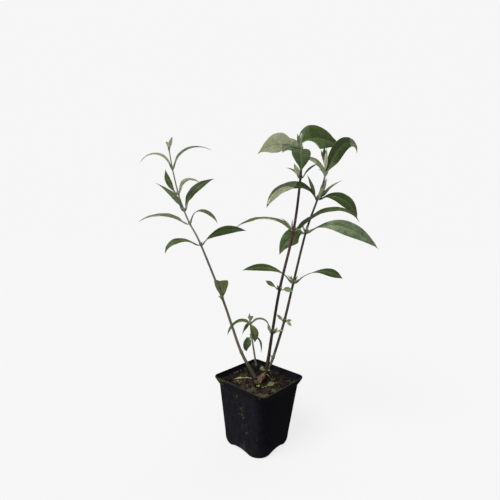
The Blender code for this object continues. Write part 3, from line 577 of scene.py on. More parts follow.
class Batch:
    """Closed skins gathered for one piece, with a finish for each face and a vein value for each point."""

    def __init__(self):
        self.points, self.veins, self.count = [], [], 0
        self.faces = {4: [], 3: []}
        self.finishes = {4: [], 3: []}

    def add(self, rings, finish=0, veins=0.0):
        """Add a body through rings: a band of faces between two rings, and a fan at either end."""
        rows, turns = rings.shape[:2]
        here = np.arange(turns)
        after = (here + 1) % turns
        low = np.arange(rows - 1)[:, None] * turns
        last, hub = (rows - 1) * turns, np.full(turns, rows * turns)
        near, far = low + here, low + after
        bands = np.stack([near, far, far + turns, near + turns], -1).reshape(-1, 4)
        fans = np.vstack([np.stack([after, here, hub], 1), np.stack([here + last, after + last, hub + 1], 1)])
        finish = np.broadcast_to(finish, (rows - 1, turns))
        for corners, faces, finishes in ((4, bands, finish), (3, fans, finish[[0, -1]])):
            self.faces[corners].append(faces + self.count)
            self.finishes[corners].append(finishes.ravel())
        self.points += [rings.reshape(-1, 3), [rings[0].mean(0), rings[-1].mean(0)]]
        self.veins += [np.broadcast_to(veins, (rows, turns)).ravel(), [0.0, 0.0]]
        self.count += rows * turns + 2

    def build(self, name, materials, slot, nodes=(), smooth=True):
        """Make one piece of what was gathered, riding on the plant's body and standing for its nodes."""
        mesh = bpy.data.meshes.new(name)
        faces = [face for corners in (4, 3) for face in np.vstack(self.faces[corners]).tolist()]
        mesh.from_pydata(np.vstack(self.points).tolist(), [], faces)
        for material in materials:
            mesh.materials.append(material)
        finishes = np.concatenate(self.finishes[4] + self.finishes[3])
        mesh.polygons.foreach_set("material_index", finishes.astype(np.int32))
        mesh.polygons.foreach_set("use_smooth", np.full(len(faces), smooth))
        vein = mesh.attributes.new("vein", "FLOAT", "POINT")
        vein.data.foreach_set("value", np.concatenate(self.veins).astype(np.float32))
        mesh.update()
        piece = bpy.data.objects.new(name, mesh)
        bpy.context.scene.collection.objects.link(piece)
        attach(piece, BODY)
        if nodes:
            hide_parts(*nodes)


def add_node(tree, kind, inputs=None, **settings):
    """A new shader node, with its settings, and its sockets set or linked."""
    node = tree.nodes.new("ShaderNode" + kind)
    for key, value in settings.items():
        setattr(node, key, value)
    for key, value in (inputs or {}).items():
        socket = node.inputs[key]
        if isinstance(value, bpy.types.NodeSocket):
            tree.links.new(value, socket)
        else:
            socket.default_value = (*value, 1.0) if socket.type == "RGBA" else value
    return node


def blend(tree, share, first, second):
    """A mix of two colours, with a share of the second."""
    node = add_node(tree, "Mix", {"Factor": share, "A": first, "B": second}, data_type="RGBA")
    return node.outputs["Result"]


def ramp(tree, value, low, high, start=0.0, end=1.0, **settings):
    """A value that goes from start to end while another goes from low to high."""
    return add_node(tree, "MapRange", {"Value": value, "From Min": low, "From Max": high, "To Min": start,
                                       "To Max": end}, **settings).outputs["Result"]


def maths(tree, operation, first, second):
    """The result of an operation on two values."""
    return add_node(tree, "Math", {0: first, 1: second}, operation=operation).outputs[0]


def noise(tree, place, scale, detail, roughness=0.5):
    """A soft noise."""
    return add_node(tree, "TexNoise", {"Vector": place, "Scale": scale, "Detail": detail,
                                       "Roughness": roughness}).outputs["Fac"]


def new_group(name, inputs, outputs):
    """An empty node group, and its own input and output sockets by name."""
    group = bpy.data.node_groups.new(name, "ShaderNodeTree")
    for label, kind in inputs.items():
        group.interface.new_socket(label, in_out="INPUT", socket_type="NodeSocket" + kind)
    for label, kind in outputs.items():
        group.interface.new_socket(label, in_out="OUTPUT", socket_type="NodeSocket" + kind)
    return group, group.nodes.new("NodeGroupInput").outputs, group.nodes.new("NodeGroupOutput").inputs


def mottle_group():
    """Shared effect: two colours that run into each other in soft patches, and the patches' height."""
    if "mottle" in bpy.data.node_groups:
        return bpy.data.node_groups["mottle"]
    inputs = {"Vector": "Vector", "Colour": "Color", "Other": "Color", "Scale": "Float", "Amount": "Float"}
    group, given, result = new_group("mottle", inputs, {"Colour": "Color", "Height": "Float"})
    patches = noise(group, given["Vector"], given["Scale"], detail=5.0, roughness=0.62)
    share = ramp(group, patches, *MOTTLE_EDGES, 0.0, given["Amount"])
    group.links.new(blend(group, share, given["Colour"], given["Other"]), result["Colour"])
    group.links.new(patches, result["Height"])
    return group


def speck_group():
    """Shared effect: specks of another colour, thick in some patches and missing in others."""
    if "speck" in bpy.data.node_groups:
        return bpy.data.node_groups["speck"]
    inputs = {"Vector": "Vector", "Colour": "Color", "Speck": "Color", "Scale": "Float", "Cover": "Float"}
    group, given, result = new_group("speck", inputs, {"Colour": "Color"})
    fine = noise(group, given["Vector"], given["Scale"], detail=3.0, roughness=0.7)
    coarse = maths(group, "MULTIPLY", given["Scale"], SPECK_PATCHES)
    patches = noise(group, given["Vector"], coarse, detail=2.0)
    level = maths(group, "ADD", maths(group, "ADD", fine, patches), given["Cover"])
    specks = blend(group, ramp(group, level, *SPECK_EDGES), given["Colour"], given["Speck"])
    group.links.new(specks, result["Colour"])
    return group


def mottle(tree, place, first, second, scale, amount):
    """The mottle effect in a material: its colour and its height."""
    node = add_node(tree, "Group", {"Vector": place, "Colour": first, "Other": second, "Scale": scale,
                                    "Amount": amount}, node_tree=mottle_group())
    return node.outputs["Colour"], node.outputs["Height"]


def speck(tree, place, first, second, scale, cover):
    """The speck effect in a material: its colour."""
    return add_node(tree, "Group", {"Vector": place, "Colour": first, "Speck": second, "Scale": scale,
                                    "Cover": cover}, node_tree=speck_group()).outputs["Colour"]


def plain_material(name, roughness, specular=0.3, sheen=0.0):
    """A new material: its tree, its shader and Object coordinates."""
    material = bpy.data.materials.new(name)
    material.use_nodes = True
    tree = material.node_tree
    shader = tree.nodes["Principled BSDF"]
    shader.inputs["Roughness"].default_value = roughness
    shader.inputs["Specular IOR Level"].default_value = specular
    shader.inputs["Sheen Weight"].default_value = sheen
    place = add_node(tree, "TexCoord").outputs["Object"]
    return material, tree, shader, place


def stretched(tree, place, scale):
    """Coordinates scaled by a Mapping node."""
    return add_node(tree, "Mapping", {"Vector": place, "Scale": scale}).outputs["Vector"]


def bump(tree, shader, height, strength, distance):
    """Put a height on the shader's normal."""
    node = add_node(tree, "Bump", {"Height": height, "Strength": strength, "Distance": distance})
    tree.links.new(node.outputs["Normal"], shader.inputs["Normal"])


def mottled(name, first, second, scale, amount=1.0, roughness=0.8, specular=0.25, stretch=(1, 1, 1),
            relief=0.3 * MM, sheen=0.0, zones=()):
    """A material of two colours in soft patches, with a relief to match.

    The first colour turns into that of each zone in turn, between the zone's two heights.
    """
    material, tree, shader, place = plain_material(name, roughness, specular, sheen)
    for low, high, other in zones:
        height = add_node(tree, "SeparateXYZ", {"Vector": place}).outputs["Z"]
        first = blend(tree, ramp(tree, height, low, high, interpolation_type="SMOOTHSTEP"), first, other)
    shade, patches = mottle(tree, stretched(tree, place, stretch), first, second, scale, amount)
    tree.links.new(shade, shader.inputs["Base Color"])
    bump(tree, shader, patches, strength=0.6, distance=relief)
    return material


def darker(shade, share):
    """A colour taken down to a share of its light."""
    return tuple(share * value for value in shade)


def leaf_material(name, shade, vein, vein_share, roughness=0.55, sheen=0.04, patch=0.5):
    """Leaf skin: patches of two sizes, veins along the mesh's vein values, and a fine net between them."""
    material, tree, shader, place = plain_material(name, roughness, specular=0.22, sheen=sheen)
    wide, _ = mottle(tree, place, darker(shade, 1.3), shade, LEAF_PATCHES, amount=1.0)
    base, _ = mottle(tree, place, wide, darker(shade, patch), LEAF_SPOTS, amount=0.8)
    net = add_node(tree, "TexVoronoi", {"Vector": place, "Scale": LEAF_NET}, feature="DISTANCE_TO_EDGE")
    lines = ramp(tree, net.outputs["Distance"], 0.0, LEAF_NET_LINE, 1.0, 0.0)
    ribs = add_node(tree, "Attribute", attribute_name="vein").outputs["Fac"]
    both = maths(tree, "MAXIMUM", ribs, maths(tree, "MULTIPLY", lines, LEAF_NET_SHARE))
    colour_out = blend(tree, maths(tree, "MULTIPLY", both, vein_share), base, vein)
    tree.links.new(colour_out, shader.inputs["Base Color"])
    bump(tree, shader, lines, strength=-0.35, distance=0.12 * MM)
    return material


def pot_material():
    """Black plastic: paler and worn at the left from dust and painted light, with olive specks and, low down,
    pale dust; dark at the right as painted shade, with less dust and fewer specks.
    """
    settings = bpy.context.scene.bush_pot
    material, tree, shader, place = plain_material("pot_plastic_dusty", roughness=0.9, specular=0.02)
    x, y, z = add_node(tree, "SeparateXYZ", {"Vector": place}).outputs
    # Painted light: the paler dusty film and the worn patches stand for the light on the faces away from the
    # right
    dusty = ramp(tree, x, *LIT_DUSTY_FACE, 1.0, 0.25)
    base = blend(tree, dusty, settings.plastic, settings.lit_dusty_film)
    lit_worn, _ = mottle(tree, stretched(tree, place, (1, 1, 0.6)), base, settings.lit_worn, POT_PATCHES,
                     ramp(tree, dusty, 0.0, 1.0, 0.0, 0.45))
    side = ramp(tree, x, *CLEAN_FACE, 0.0, -0.1)
    low = maths(tree, "ADD", ramp(tree, z, *DUSTY_FOOT, 0.12, -0.02), side)
    dust = speck(tree, place, lit_worn, settings.dust, POT_DUST, low)
    cover = maths(tree, "ADD", ramp(tree, y, *SPECKED_FRONT, 0.15, -0.1), side)
    specks = speck(tree, stretched(tree, place, (1, 1, 0.7)), dust, settings.dirt, POT_SPECKS, cover)
    tree.links.new(specks, shader.inputs["Base Color"])
    bump(tree, shader, noise(tree, place, POT_GRAIN, detail=2.0), strength=0.25, distance=0.1 * MM)
    return material


def square_rings(half, corner, height):
    """Rings round a square with round corners, from arrays of half sides, corner radii and heights.

    A quarter of a ring is an arc about the corner's own middle and a straight run to the next corner.
    """
    arc = np.linspace(0, np.pi / 2, CORNER_CELLS + 1)
    run = np.linspace(1, -1, SIDE_CELLS + 1)[1:-1]
    across = np.concatenate([np.cos(arc), np.zeros(len(run))])
    along = np.concatenate([np.sin(arc), np.ones(len(run))])
    reach = np.concatenate([np.ones(len(arc)), run])
    quarters = 4
    across, along, reach = (np.tile(part, quarters) for part in (across, along, reach))
    x = (half - corner) * reach + corner * across
    y = (half - corner) + corner * along
    angle = np.repeat(np.arange(quarters), len(arc) + len(run)) * np.pi / 2
    level = (x * np.cos(angle) - y * np.sin(angle), x * np.sin(angle) + y * np.cos(angle))
    return np.stack([*level, np.broadcast_to(height, x.shape)], axis=-1)


def pot_section(height):
    """Half side and corner radius of the pot's outer skin at a height, as the solid has them."""
    neck = POT_HEIGHT - LIP_DROP
    share = np.clip((height - BASE_BLEND) / (neck - BASE_BLEND), 0, 1)
    dip = np.clip(1 - height / BASE_BLEND, 0, 1)
    flare = np.clip((height - neck) / (LIP_DROP - RIM_BAND), 0, 1) ** LIP_CURVE
    half = BASE_HALF + (NECK_HALF - BASE_HALF) * share - BASE_INSET * (1 - np.sqrt(1 - dip ** 2))
    corner = BASE_CORNER + (NECK_CORNER - BASE_CORNER) * share
    return half + (RIM_HALF - NECK_HALF) * flare, corner + (RIM_CORNER - NECK_CORNER) * flare


def arch_lift(rings):
    """How far the lower edge is raised: a round arch in the middle of each side, from its edge in."""
    radius = (ARCH_WIDTH ** 2 / 4 + ARCH_HEIGHT ** 2) / (2 * ARCH_HEIGHT)
    x, y = np.abs(rings[..., 0]), np.abs(rings[..., 1])
    deep, wide = np.maximum(x, y), np.minimum(x, y)
    rise = np.sqrt(np.maximum(radius ** 2 - wide ** 2, 0)) + ARCH_HEIGHT - radius
    return np.where(deep > BASE_HALF - ARCH_DEPTH, np.maximum(rise, 0), 0)


def pot_rings(wall):
    """The pot as one closed skin: from under its middle out, up the wall, over the rim and down inside."""
    arch_edge = BASE_HALF - ARCH_DEPTH
    under = np.array([HUB_HALF, *FLOOR_HALVES, arch_edge - 0.3 * MM, arch_edge + 0.1 * MM,
                      pot_section(0.0)[0] - 1.5 * MM])
    neck, band, rim_top = (POT_HEIGHT - drop for drop in (LIP_DROP, RIM_BAND, RIM_ROUND))
    levels = [0, BASE_BLEND, neck, band, rim_top]
    outside = np.concatenate([np.linspace(low, high, cells + 1)[:-1]
                              for low, high, cells in zip(levels, levels[1:], WALL_CELLS)] + [[rim_top]])
    half, corner = pot_section(outside)
    bend = np.linspace(0, np.pi, BEAD_CELLS + 1)[1:]
    bead = wall + BEAD_SWELL
    rim_half = RIM_HALF - bead / 2 + bead / 2 * np.cos(bend)
    inside = np.append(np.linspace(band, neck, BEAD_CELLS), [neck - 0.5 * MM, 0.7 * POT_HEIGHT,
                                                             wall + BASE_BLEND, wall])
    in_half, in_corner = pot_section(inside)
    close = np.array([arch_edge - 1 * MM, FLOOR_HALVES[0], HUB_HALF])
    halves = np.concatenate([under, half, rim_half, in_half - wall, close])[:, None]
    corners = np.concatenate([FLOOR_CORNER * under, corner, RIM_CORNER - (RIM_HALF - rim_half),
                              in_corner - wall, FLOOR_CORNER * close])[:, None]
    heights = np.concatenate([0 * under, outside, rim_top + RIM_ROUND * np.sin(bend), inside,
                              0 * close + wall])[:, None]
    fade = np.clip(1 - heights / ARCH_FADE, 0, 1)
    raised = heights + arch_lift(square_rings(halves, corners, heights)) * fade
    rest = len(heights) - len(under) - len(half)
    is_outside = np.repeat([False, True, False], [len(under), len(half), rest])
    halves, corners = (np.where(is_outside[:, None], new, old)
                       for new, old in zip(pot_section(raised), (halves, corners)))
    return square_rings(halves, corners, raised)


def ground_height(points):
    """Height of the compost in the plant's frame: a level, a heap, a dip, and lumps of three sizes."""
    x, y = points[..., 0], points[..., 1]
    heap = np.exp(-((x - SOIL_HEAP_AT[0]) ** 2 + (y - SOIL_HEAP_AT[1]) ** 2) / SOIL_HEAP_SPREAD ** 2)
    dip = np.exp(-((x - SOIL_DIP_AT[0]) ** 2 + (y - SOIL_DIP_AT[1]) ** 2) / SOIL_DIP_SPREAD ** 2)
    flat = np.stack([x, y, 0 * x], axis=-1)
    relief = sum(amount * lumps(flat, size, seed) for amount, size, seed in GROUND_LUMPS)
    return SOIL_LEVEL + SOIL_HEAP * heap - SOIL_DIP * dip + relief * MM


def on_ground(x, y, rise=0.0):
    """A place on the compost, in the plant's frame, from plant coordinates in millimetres."""
    place = np.array([x * MM, y * MM, 0.0])
    place[2] = ground_height(place) + rise * MM
    return place


def make_compost_ground(materials):
    """The compost's body: rings from its middle out to the wall, down it, and back in underneath."""
    half, corner = (value - POT_WALL - SOIL_GAP for value in pot_section(SOIL_LEVEL))
    share = np.linspace(GROUND_START, 1, SOIL_RINGS)
    low = np.array([SOIL_LEVEL - GROUND_EDGE, BASE_BLEND + POT_WALL])
    low_half, low_corner = pot_section(low)
    halves = np.concatenate([half * share, low_half - POT_WALL - SOIL_GAP, [HUB_HALF]])
    corners = np.concatenate([corner * share, low_corner - POT_WALL - SOIL_GAP, [HUB_HALF / 4]])
    heights = np.concatenate([0 * share + SOIL_LEVEL, low, low[-1:]])
    rings = square_rings(halves[:, None], corners[:, None], heights[:, None])
    rings[:SOIL_RINGS, :, 2] = ground_height(rings[:SOIL_RINGS] @ TURN)
    batch = Batch()
    batch.add(rings[::-1])
    batch.build("compost_ground", materials, "compost", ["soil"])


def random_turns(rng, count, tilt):
    """Rotation matrices: a free turn about the upright, after a tilt about a free level axis."""
    spin = rng.uniform(0, 2 * np.pi, count)
    lean = rng.normal(0, tilt, count)[:, None, None]
    way = rng.uniform(0, 2 * np.pi, count)
    axis = np.stack([np.cos(way), np.sin(way), 0 * way], axis=1)
    cross = np.zeros((count, 3, 3))
    cross[:, 0, 2], cross[:, 1, 2] = axis[:, 1], -axis[:, 0]
    cross[:, 2, 0], cross[:, 2, 1] = -axis[:, 1], axis[:, 0]
    leaning = np.eye(3) + np.sin(lean) * cross + (1 - np.cos(lean)) * cross @ cross
    turning = np.zeros((count, 3, 3))
    turning[:, 0, 0] = turning[:, 1, 1] = np.cos(spin)
    turning[:, 1, 0], turning[:, 0, 1] = np.sin(spin), -np.sin(spin)
    turning[:, 2, 2] = 1
    return leaning @ turning


def chip_forms(rng, count, sizes):
    """Rings of many bark chips at once: a flat ball of a few rings, its points pushed about."""
    rows = np.array(CHIP_RINGS)[:, None]
    angle = np.linspace(0, 2 * np.pi, CHIP_POINTS, endpoint=False)
    radius = (1 - rows ** 4) ** 0.5
    ball = np.stack(np.broadcast_arrays(radius * np.cos(angle), radius * np.sin(angle), rows), axis=-1)
    shape = np.stack([rng.uniform(*span, count) for span in CHIP_FORM], axis=1)
    pushed = ball[None] * (1 + rng.uniform(-CHIP_PUSH, CHIP_PUSH, (count, *ball.shape[:2], 1)))
    return pushed * (shape * sizes[:, None])[:, None, None]


def chips_apart(forms, flat, sizes, half):
    """Which chips may stay: clear of the wall, below the rim near it, and not coarse beside the litter."""
    reach = np.abs(forms[..., :2]).max(axis=(1, 2, 3))
    top = forms[..., 2].max(axis=(1, 2))
    apart = (reach < half - CHIP_WALL) & ((reach < half - CHIP_BORDER) | (top < POT_HEIGHT - CHIP_DROP))
    for spot in CLEAR_SPOTS:
        aside = np.linalg.norm(flat[:, :2] - turned(np.array([*spot, 0.0]) * MM)[:2], axis=1)
        apart &= (aside > CLEAR_REACH + sizes / 2) | (sizes < CLEAR_CHIP)
    return apart


def chip_kinds(rng, flat, sizes):
    """The colour of each chip, as a number in the list of kinds."""
    count = len(flat)
    front = np.hypot(*(flat[:, :2] - np.array(DUSTY_CORNER)).T)
    dust = lumps(flat, DUST_PATCH, 8) + rng.normal(0, PATCH_BLUR, count)
    dust = dust + np.exp(-(front / DUSTY_SPREAD) ** 2)
    moss = lumps(flat, MOSS_PATCH, 9) + rng.normal(0, PATCH_BLUR, count)
    kinds = rng.choice(2, count, p=[DARK_SHARE, 1 - DARK_SHARE])
    kinds = np.where(moss > MOSS_LEVEL, CHIP_KINDS.index("moss"), kinds)
    kinds = np.where(dust > DUST_LEVEL, CHIP_KINDS.index("dusty"), kinds)
    return np.where((rng.random(count) < PALE_SHARE) & (sizes < PALE_CHIP), CHIP_KINDS.index("pale"), kinds)


def make_compost_chips(materials):
    """Bark chips strewn over the compost, dealt out among its colours by patches of moss and by chance."""
    settings = bpy.context.scene.bush_compost
    rng = np.random.default_rng(CHIP_SEED)
    half, corner = (value - POT_WALL for value in pot_section(SOIL_LEVEL))
    places = rng.uniform(-half + CHIP_INSET, half - CHIP_INSET, (3 * settings.chips, 2))
    over = np.maximum(np.abs(places) - (half - corner), 0)
    places = places[np.hypot(*over.T) < corner - CHIP_CORNER][:settings.chips]
    count = len(places)
    sizes = settings.chip * rng.lognormal(*CHIP_SIZES, count).clip(*CHIP_SIZE_RANGE)
    forms = chip_forms(rng, count, sizes)
    forms = np.einsum("nij,nrkj->nrki", random_turns(rng, count, CHIP_TILT), forms)
    flat = np.column_stack([places, np.zeros(count)])
    flat[:, 2] = ground_height(flat @ TURN) + CHIP_LIFT * sizes
    forms += flat[:, None, None]
    apart = chips_apart(forms, flat, sizes, half)
    kinds = chip_kinds(rng, flat, sizes)
    for number, name in enumerate(CHIP_KINDS):
        batch = Batch()
        for rings in forms[apart & (kinds == number)]:
            batch.add(rings)
        batch.build("compost_chips_" + name, [materials[name]], "compost", smooth=False)


def make_compost_fibres(material):
    """Thin bent fibres and rootlets lying among the chips."""
    rng = np.random.default_rng(FIBRE_SEED)
    half = pot_section(SOIL_LEVEL)[0] - FIBRE_BORDER
    batch = Batch()
    share = np.linspace(-0.5, 0.5, FIBRE_POINTS)
    for _ in range(bpy.context.scene.bush_compost.fibres):
        bearing, span = rng.uniform(0, 2 * np.pi), rng.uniform(*FIBRE_SPAN) * MM
        way = bearing + rng.uniform(-FIBRE_BEND, FIBRE_BEND) * share
        steps = np.stack([np.cos(way), np.sin(way), 0 * way], axis=1) * span / len(share)
        path = rng.uniform(-half, half, 3) * (1, 1, 0) + np.cumsum(steps, axis=0)
        path = np.clip(path, -half - 3 * MM, half + 3 * MM)
        path[:, 2] = ground_height(path @ TURN) + rng.uniform(*FIBRE_RISE) * MM
        batch.add(sweep(path, rng.uniform(*FIBRE_RADIUS) * MM * np.cos(2.6 * share) ** 0.5, 5))
    batch.build("compost_fibres", [material], "compost")


def direction(lean, bearing):
    """Unit vector at a lean from upright, towards a compass bearing, both in degrees."""
    lean, bearing = math.radians(lean), math.radians(bearing)
    return np.array([math.sin(lean) * math.cos(bearing), math.sin(lean) * math.sin(bearing), math.cos(lean)])


class Line:
    """The smooth middle line of a cane: a curve through its joints, measured along its length."""

    def __init__(self, cane):
        joints = [np.array(cane.foot) * MM + np.array([0, 0, POT_HEIGHT])]
        for step in cane.steps:
            joints.append(joints[-1] + step.length * MM * direction(step.lean, step.bearing))
        ends = [2 * joints[0] - joints[1]] + joints + [2 * joints[-1] - joints[-2]]
        share = np.linspace(0, 1, LINE_CELLS, endpoint=False)[:, None]
        pieces = []
        for a, b, c, d in zip(ends, ends[1:], ends[2:], ends[3:]):
            pieces.append(0.5 * (2 * b + (c - a) * share + (2 * a - 5 * b + 4 * c - d) * share ** 2
                                 + (3 * b - a - 3 * c + d) * share ** 3))
        self.points = np.vstack(pieces + [joints[-1][None]])
        runs = np.linalg.norm(np.diff(self.points, axis=0), axis=1)
        self.along = np.concatenate([[0.0], np.cumsum(runs)])
        self.length = self.along[-1]
        self.joints = {step.joint: self.along[LINE_CELLS * (k + 1)] for k, step in enumerate(cane.steps)}

    def at(self, distance):
        """Points at distances along the line; a negative one runs straight back below the foot."""
        distance = np.atleast_1d(distance)
        inside = np.clip(distance, 0, self.length)
        point = np.stack([np.interp(inside, self.along, self.points[:, k]) for k in range(3)], axis=1)
        back = unit(self.points[1] - self.points[0])
        return point + np.minimum(distance, 0.0)[:, None] * back


LINES = {name: Line(cane) for name, cane in CANES.items()}
TIPS = {mass.cane: mass for mass in MASSES}


def cane_radius(name, distance):
    """Radius along a cane: it falls fast just above the foot, by its flare, and then ever faster."""
    cane, line = CANES[name], LINES[name]
    start = line.joints.get(STUMP_JOINT, 0.0)
    share = np.clip((distance - start) / (line.length - start), 0, 1)
    thick = (1 - cane.flare) * (1 - share ** TAPER_POWER) + cane.flare * np.exp(-share / FLARE_SHARE)
    return (cane.tip_radius + (cane.foot_radius - cane.tip_radius) * thick) * MM


def knotted_radius(name, distance):
    """Radius along a cane with its joints: each has a soft swelling, and a sharp little ridge across it."""
    carrying = {mass.joint for mass in MASSES}
    swell, swell_width = JOINT_SWELL
    ridge, ridge_off, ridge_width = JOINT_RIDGE
    added = 0 * distance
    for joint, place in LINES[name].joints.items():
        if joint not in (STUMP_JOINT, CANES[name].steps[-1].joint):
            off = (distance - place) / MM
            knot = swell * np.exp(-(off / swell_width) ** 2)
            knot = knot + ridge * np.exp(-((off - ridge_off) / ridge_width) ** 2)
            added = added + (1.0 if joint in carrying else BARE_JOINT) * knot
    return cane_radius(name, distance) + added * MM


def bark_rings(name, start, end, radius, ridge, rough, seed):
    """A limb with bark: rings along its line, four soft corners, ridges that run along it, and knots."""
    along = np.linspace(start, end, max(4, int((end - start) / BARK_CELL)))
    angle = np.linspace(0, 2 * np.pi, BARK_TURNS, endpoint=False)
    relief = 1 + BARK_CORNERS * np.cos(4 * angle + 0.8)
    for amount, (spread, step, size), pattern in ((ridge, RIDGES, seed), (rough, KNOTS, seed + 1)):
        places = np.broadcast_arrays(np.cos(angle) * spread, np.sin(angle) * spread, along[:, None] / step)
        relief = relief + amount * lumps(np.stack(places, axis=-1), size, pattern)
    return turned(sweep(LINES[name].at(along), radius(along)[:, None] * relief, BARK_TURNS))


def stump_radius(distance):
    """Radius along the old stump, with the knob of an old cut on its lower half."""
    share = np.clip(distance / LINES["middle_cane"].joints[STUMP_JOINT], 0, 1)
    rise, middle, spread = STUMP_KNOB
    knob = rise * np.exp(-((share - middle) / spread) ** 2)
    return (STUMP_FOOT_RADIUS + (STUMP_TOP_RADIUS - STUMP_FOOT_RADIUS) * share + knob) * MM


def make_stump():
    """The old stump, with painted shade on the side that faces the plant's right."""
    settings = bpy.context.scene.bush_canes
    skins = [mottled(name, shade, settings.stump_dark, 420.0, amount=amount, roughness=0.9, specular=specular,
                     stretch=STUMP_GRAIN, relief=0.8 * MM)
             for name, shade, amount, specular in (("bark_old", settings.stump, 1.0, 0.15),
                                                   ("bark_blackened", settings.stump_painted_shade, 0.8, 0.05))]
    fork = LINES["middle_cane"].joints[STUMP_JOINT]
    rings = bark_rings("middle_cane", -STEM_SINK, fork + STUMP_OVERLAP, stump_radius, ridge=0.1, rough=0.12,
                       seed=STUMP_SEED)
    # Painted shade: faces turned to the plant's right, broken up by lumps, take the darker skin
    outward = unit(rings - rings.mean(axis=1, keepdims=True)) @ TURN
    shade = outward[1:, :, 0] - 0.3 * outward[1:, :, 1] + 0.35 * lumps(rings[1:], 3 * MM, 4)
    batch = Batch()
    batch.add(rings, (shade > STUMP_SHADE_LEVEL).astype(int))
    batch.build("stump_bark", skins, "old_bark", ["old_stump"])


def make_bark():
    """The three canes and the back shoot, each with its own bark, up to the tips' stems."""
    settings = bpy.context.scene.bush_canes
    starts = {"middle_cane": LINES["middle_cane"].joints[STUMP_JOINT] + FOOT_START, "right_cane": FOOT_START}
    for seed, (name, bark) in enumerate(BARKS.items()):
        zones = [(low, high, getattr(settings, shade)) for low, high, shade in bark.zones]
        first, second = getattr(settings, bark.first), getattr(settings, bark.second)
        skin = mottled(bark.material, first, second, bark.scale, bark.amount, bark.roughness, specular=0.1,
                       stretch=BARK_GRAIN, zones=zones)
        end = LINES[name].joints[TIPS[name].joint] - TIP_MARGIN
        batch = Batch()
        batch.add(bark_rings(name, starts.get(name, -STEM_SINK), end, lambda at: knotted_radius(name, at),
                             ridge=0.05, rough=0.035, seed=3 * seed))
        batch.build(name + "_bark", [skin], bark.slot, [name])


def bud_rings(root, ahead, size, wide):
    """A pointed bud: rings along a short path, widest at a third of it."""
    share = np.linspace(0, 1, BUD_RINGS)
    path = root + np.outer(share, unit(np.array(ahead, float))) * size
    return turned(sweep(path, wide / 2 * np.sin(np.pi * (0.08 + 0.9 * share) ** 0.7), BUD_TURNS))


def make_shoots():
    """The green stems of the tips, and a pair of buds or bud scales at every joint."""
    settings = bpy.context.scene.bush_canes
    shoot = mottled("shoot_felt", settings.shoot, darker(settings.shoot, 0.7), 900.0, amount=0.8,
                    specular=0.1, stretch=SHOOT_GRAIN, sheen=0.1)
    rng = np.random.default_rng(BUD_SEED)
    for name, line in LINES.items():
        batch = Batch()
        start = line.joints[TIPS[name].joint] - TIP_MARGIN - SHOOT_OVERLAP
        batch.add(bark_rings(name, start, line.length, lambda at: knotted_radius(name, at),
                             ridge=0.04, rough=0.03, seed=SHOOT_SEED))
        for joint, place in line.joints.items():
            if joint == STUMP_JOINT:
                continue
            bearings = [mass.leaves[0].bearing for mass in MASSES if mass.joint == joint]
            bearing = bearings[0] if bearings else rng.uniform(0, 180)
            for turn in (0, 180):
                ahead = direction(rng.uniform(*BUD_LEAN), bearing + turn)
                level = unit(ahead * (1, 1, 0))
                root = line.at(place)[0] + BUD_REACH * cane_radius(name, place) * level
                batch.add(bud_rings(root, ahead, rng.uniform(*BUD_LENGTH) * MM, rng.uniform(*BUD_WIDTH) * MM))
        batch.build(name + "_shoots", [shoot], "foliage")


def heading(leaf, share):
    """Direction of a leaf's midrib at shares of its length."""
    climb = np.radians(leaf.climb - leaf.droop * share ** leaf.bend)
    bearing = np.radians(leaf.bearing + leaf.swing * share)
    return np.stack([np.cos(climb) * np.cos(bearing), np.cos(climb) * np.sin(bearing), np.sin(climb)], 1)


def leaf_frame(leaf, root, cells):
    """A leaf's midrib, and across it and above it the directions of the blade.

    The midrib sets out at the leaf's climb and bearing, and turns down by its droop, the later the greater
    its bend is, and sideways by its swing. The blade is rolled and twisted about it.
    """
    share = np.linspace(0, 1, cells + 1)
    steps = heading(leaf, (share[1:] + share[:-1]) / 2) * leaf.length * MM / cells
    midrib = root + np.vstack([np.zeros(3), np.cumsum(steps, axis=0)])
    bearing = np.radians(leaf.bearing + leaf.swing * share)
    side = np.stack([-np.sin(bearing), np.cos(bearing), 0 * share], axis=1)
    above = np.cross(heading(leaf, share), side)
    roll = np.radians(leaf.roll * np.clip(share / ROLL_SHARE, 0, 1) + leaf.twist * share)[:, None]
    return midrib, side * np.cos(roll) + above * np.sin(roll), above * np.cos(roll) - side * np.sin(roll)


def leaf_blade(leaf, share, place, run, start):
    """A blade's half widths, how grown it is there, and how far out its points lie, with their teeth.

    It is widest nearer the tip the greater the leaf's fullness is.
    """
    blade = np.clip((share - leaf.petiole) / (1 - leaf.petiole), 0, 1)
    outline = leaf.width / 2 * MM * np.abs(np.sin(np.pi * blade ** leaf.full)) ** LEAF_TAPER
    half = np.maximum(outline, STALK_HALF + (TIP_HALF - STALK_HALF) * share ** STALK_TAPER)
    grown = np.clip(half / GROWN_HALF, 0, 1)
    saw = run / TOOTH_PITCH + start
    tooth = bpy.context.scene.bush_leaves.tooth * (saw - np.floor(saw) - 0.5) * grown * np.abs(place) ** 5
    return half, grown, place * half + np.sign(place) * tooth


def side_veins(leaf, place, run, out, grown):
    """How much each point of a blade is part of a side vein; they run out and forward from the midrib."""
    spacing = np.clip(leaf.length / VEIN_PAIRS, *VEIN_SPACING) * MM
    order = (run - VEIN_LEAN * np.abs(out) * (1 + 0.25 * np.abs(place))) / spacing + 0.5 * (place > 0)
    lateral = np.exp(-((order - np.round(order)) * spacing / VEIN_HALF) ** 2)
    return lateral * grown * (1 - 0.75 * np.abs(place) ** 3)


def leaf_lift(place, run, out, half, grown, start):
    """Height of a blade's points above its midrib: two halves folded up, with a wavy edge."""
    wave = np.sin(run / EDGE_WAVE_STEP + 2 * np.sign(place) + start)
    wave = EDGE_WAVE * half * place ** 2 * wave
    return np.abs(out) * math.tan(LEAF_FOLD) * (1 - 0.35 * np.abs(place) ** 2) + wave * grown


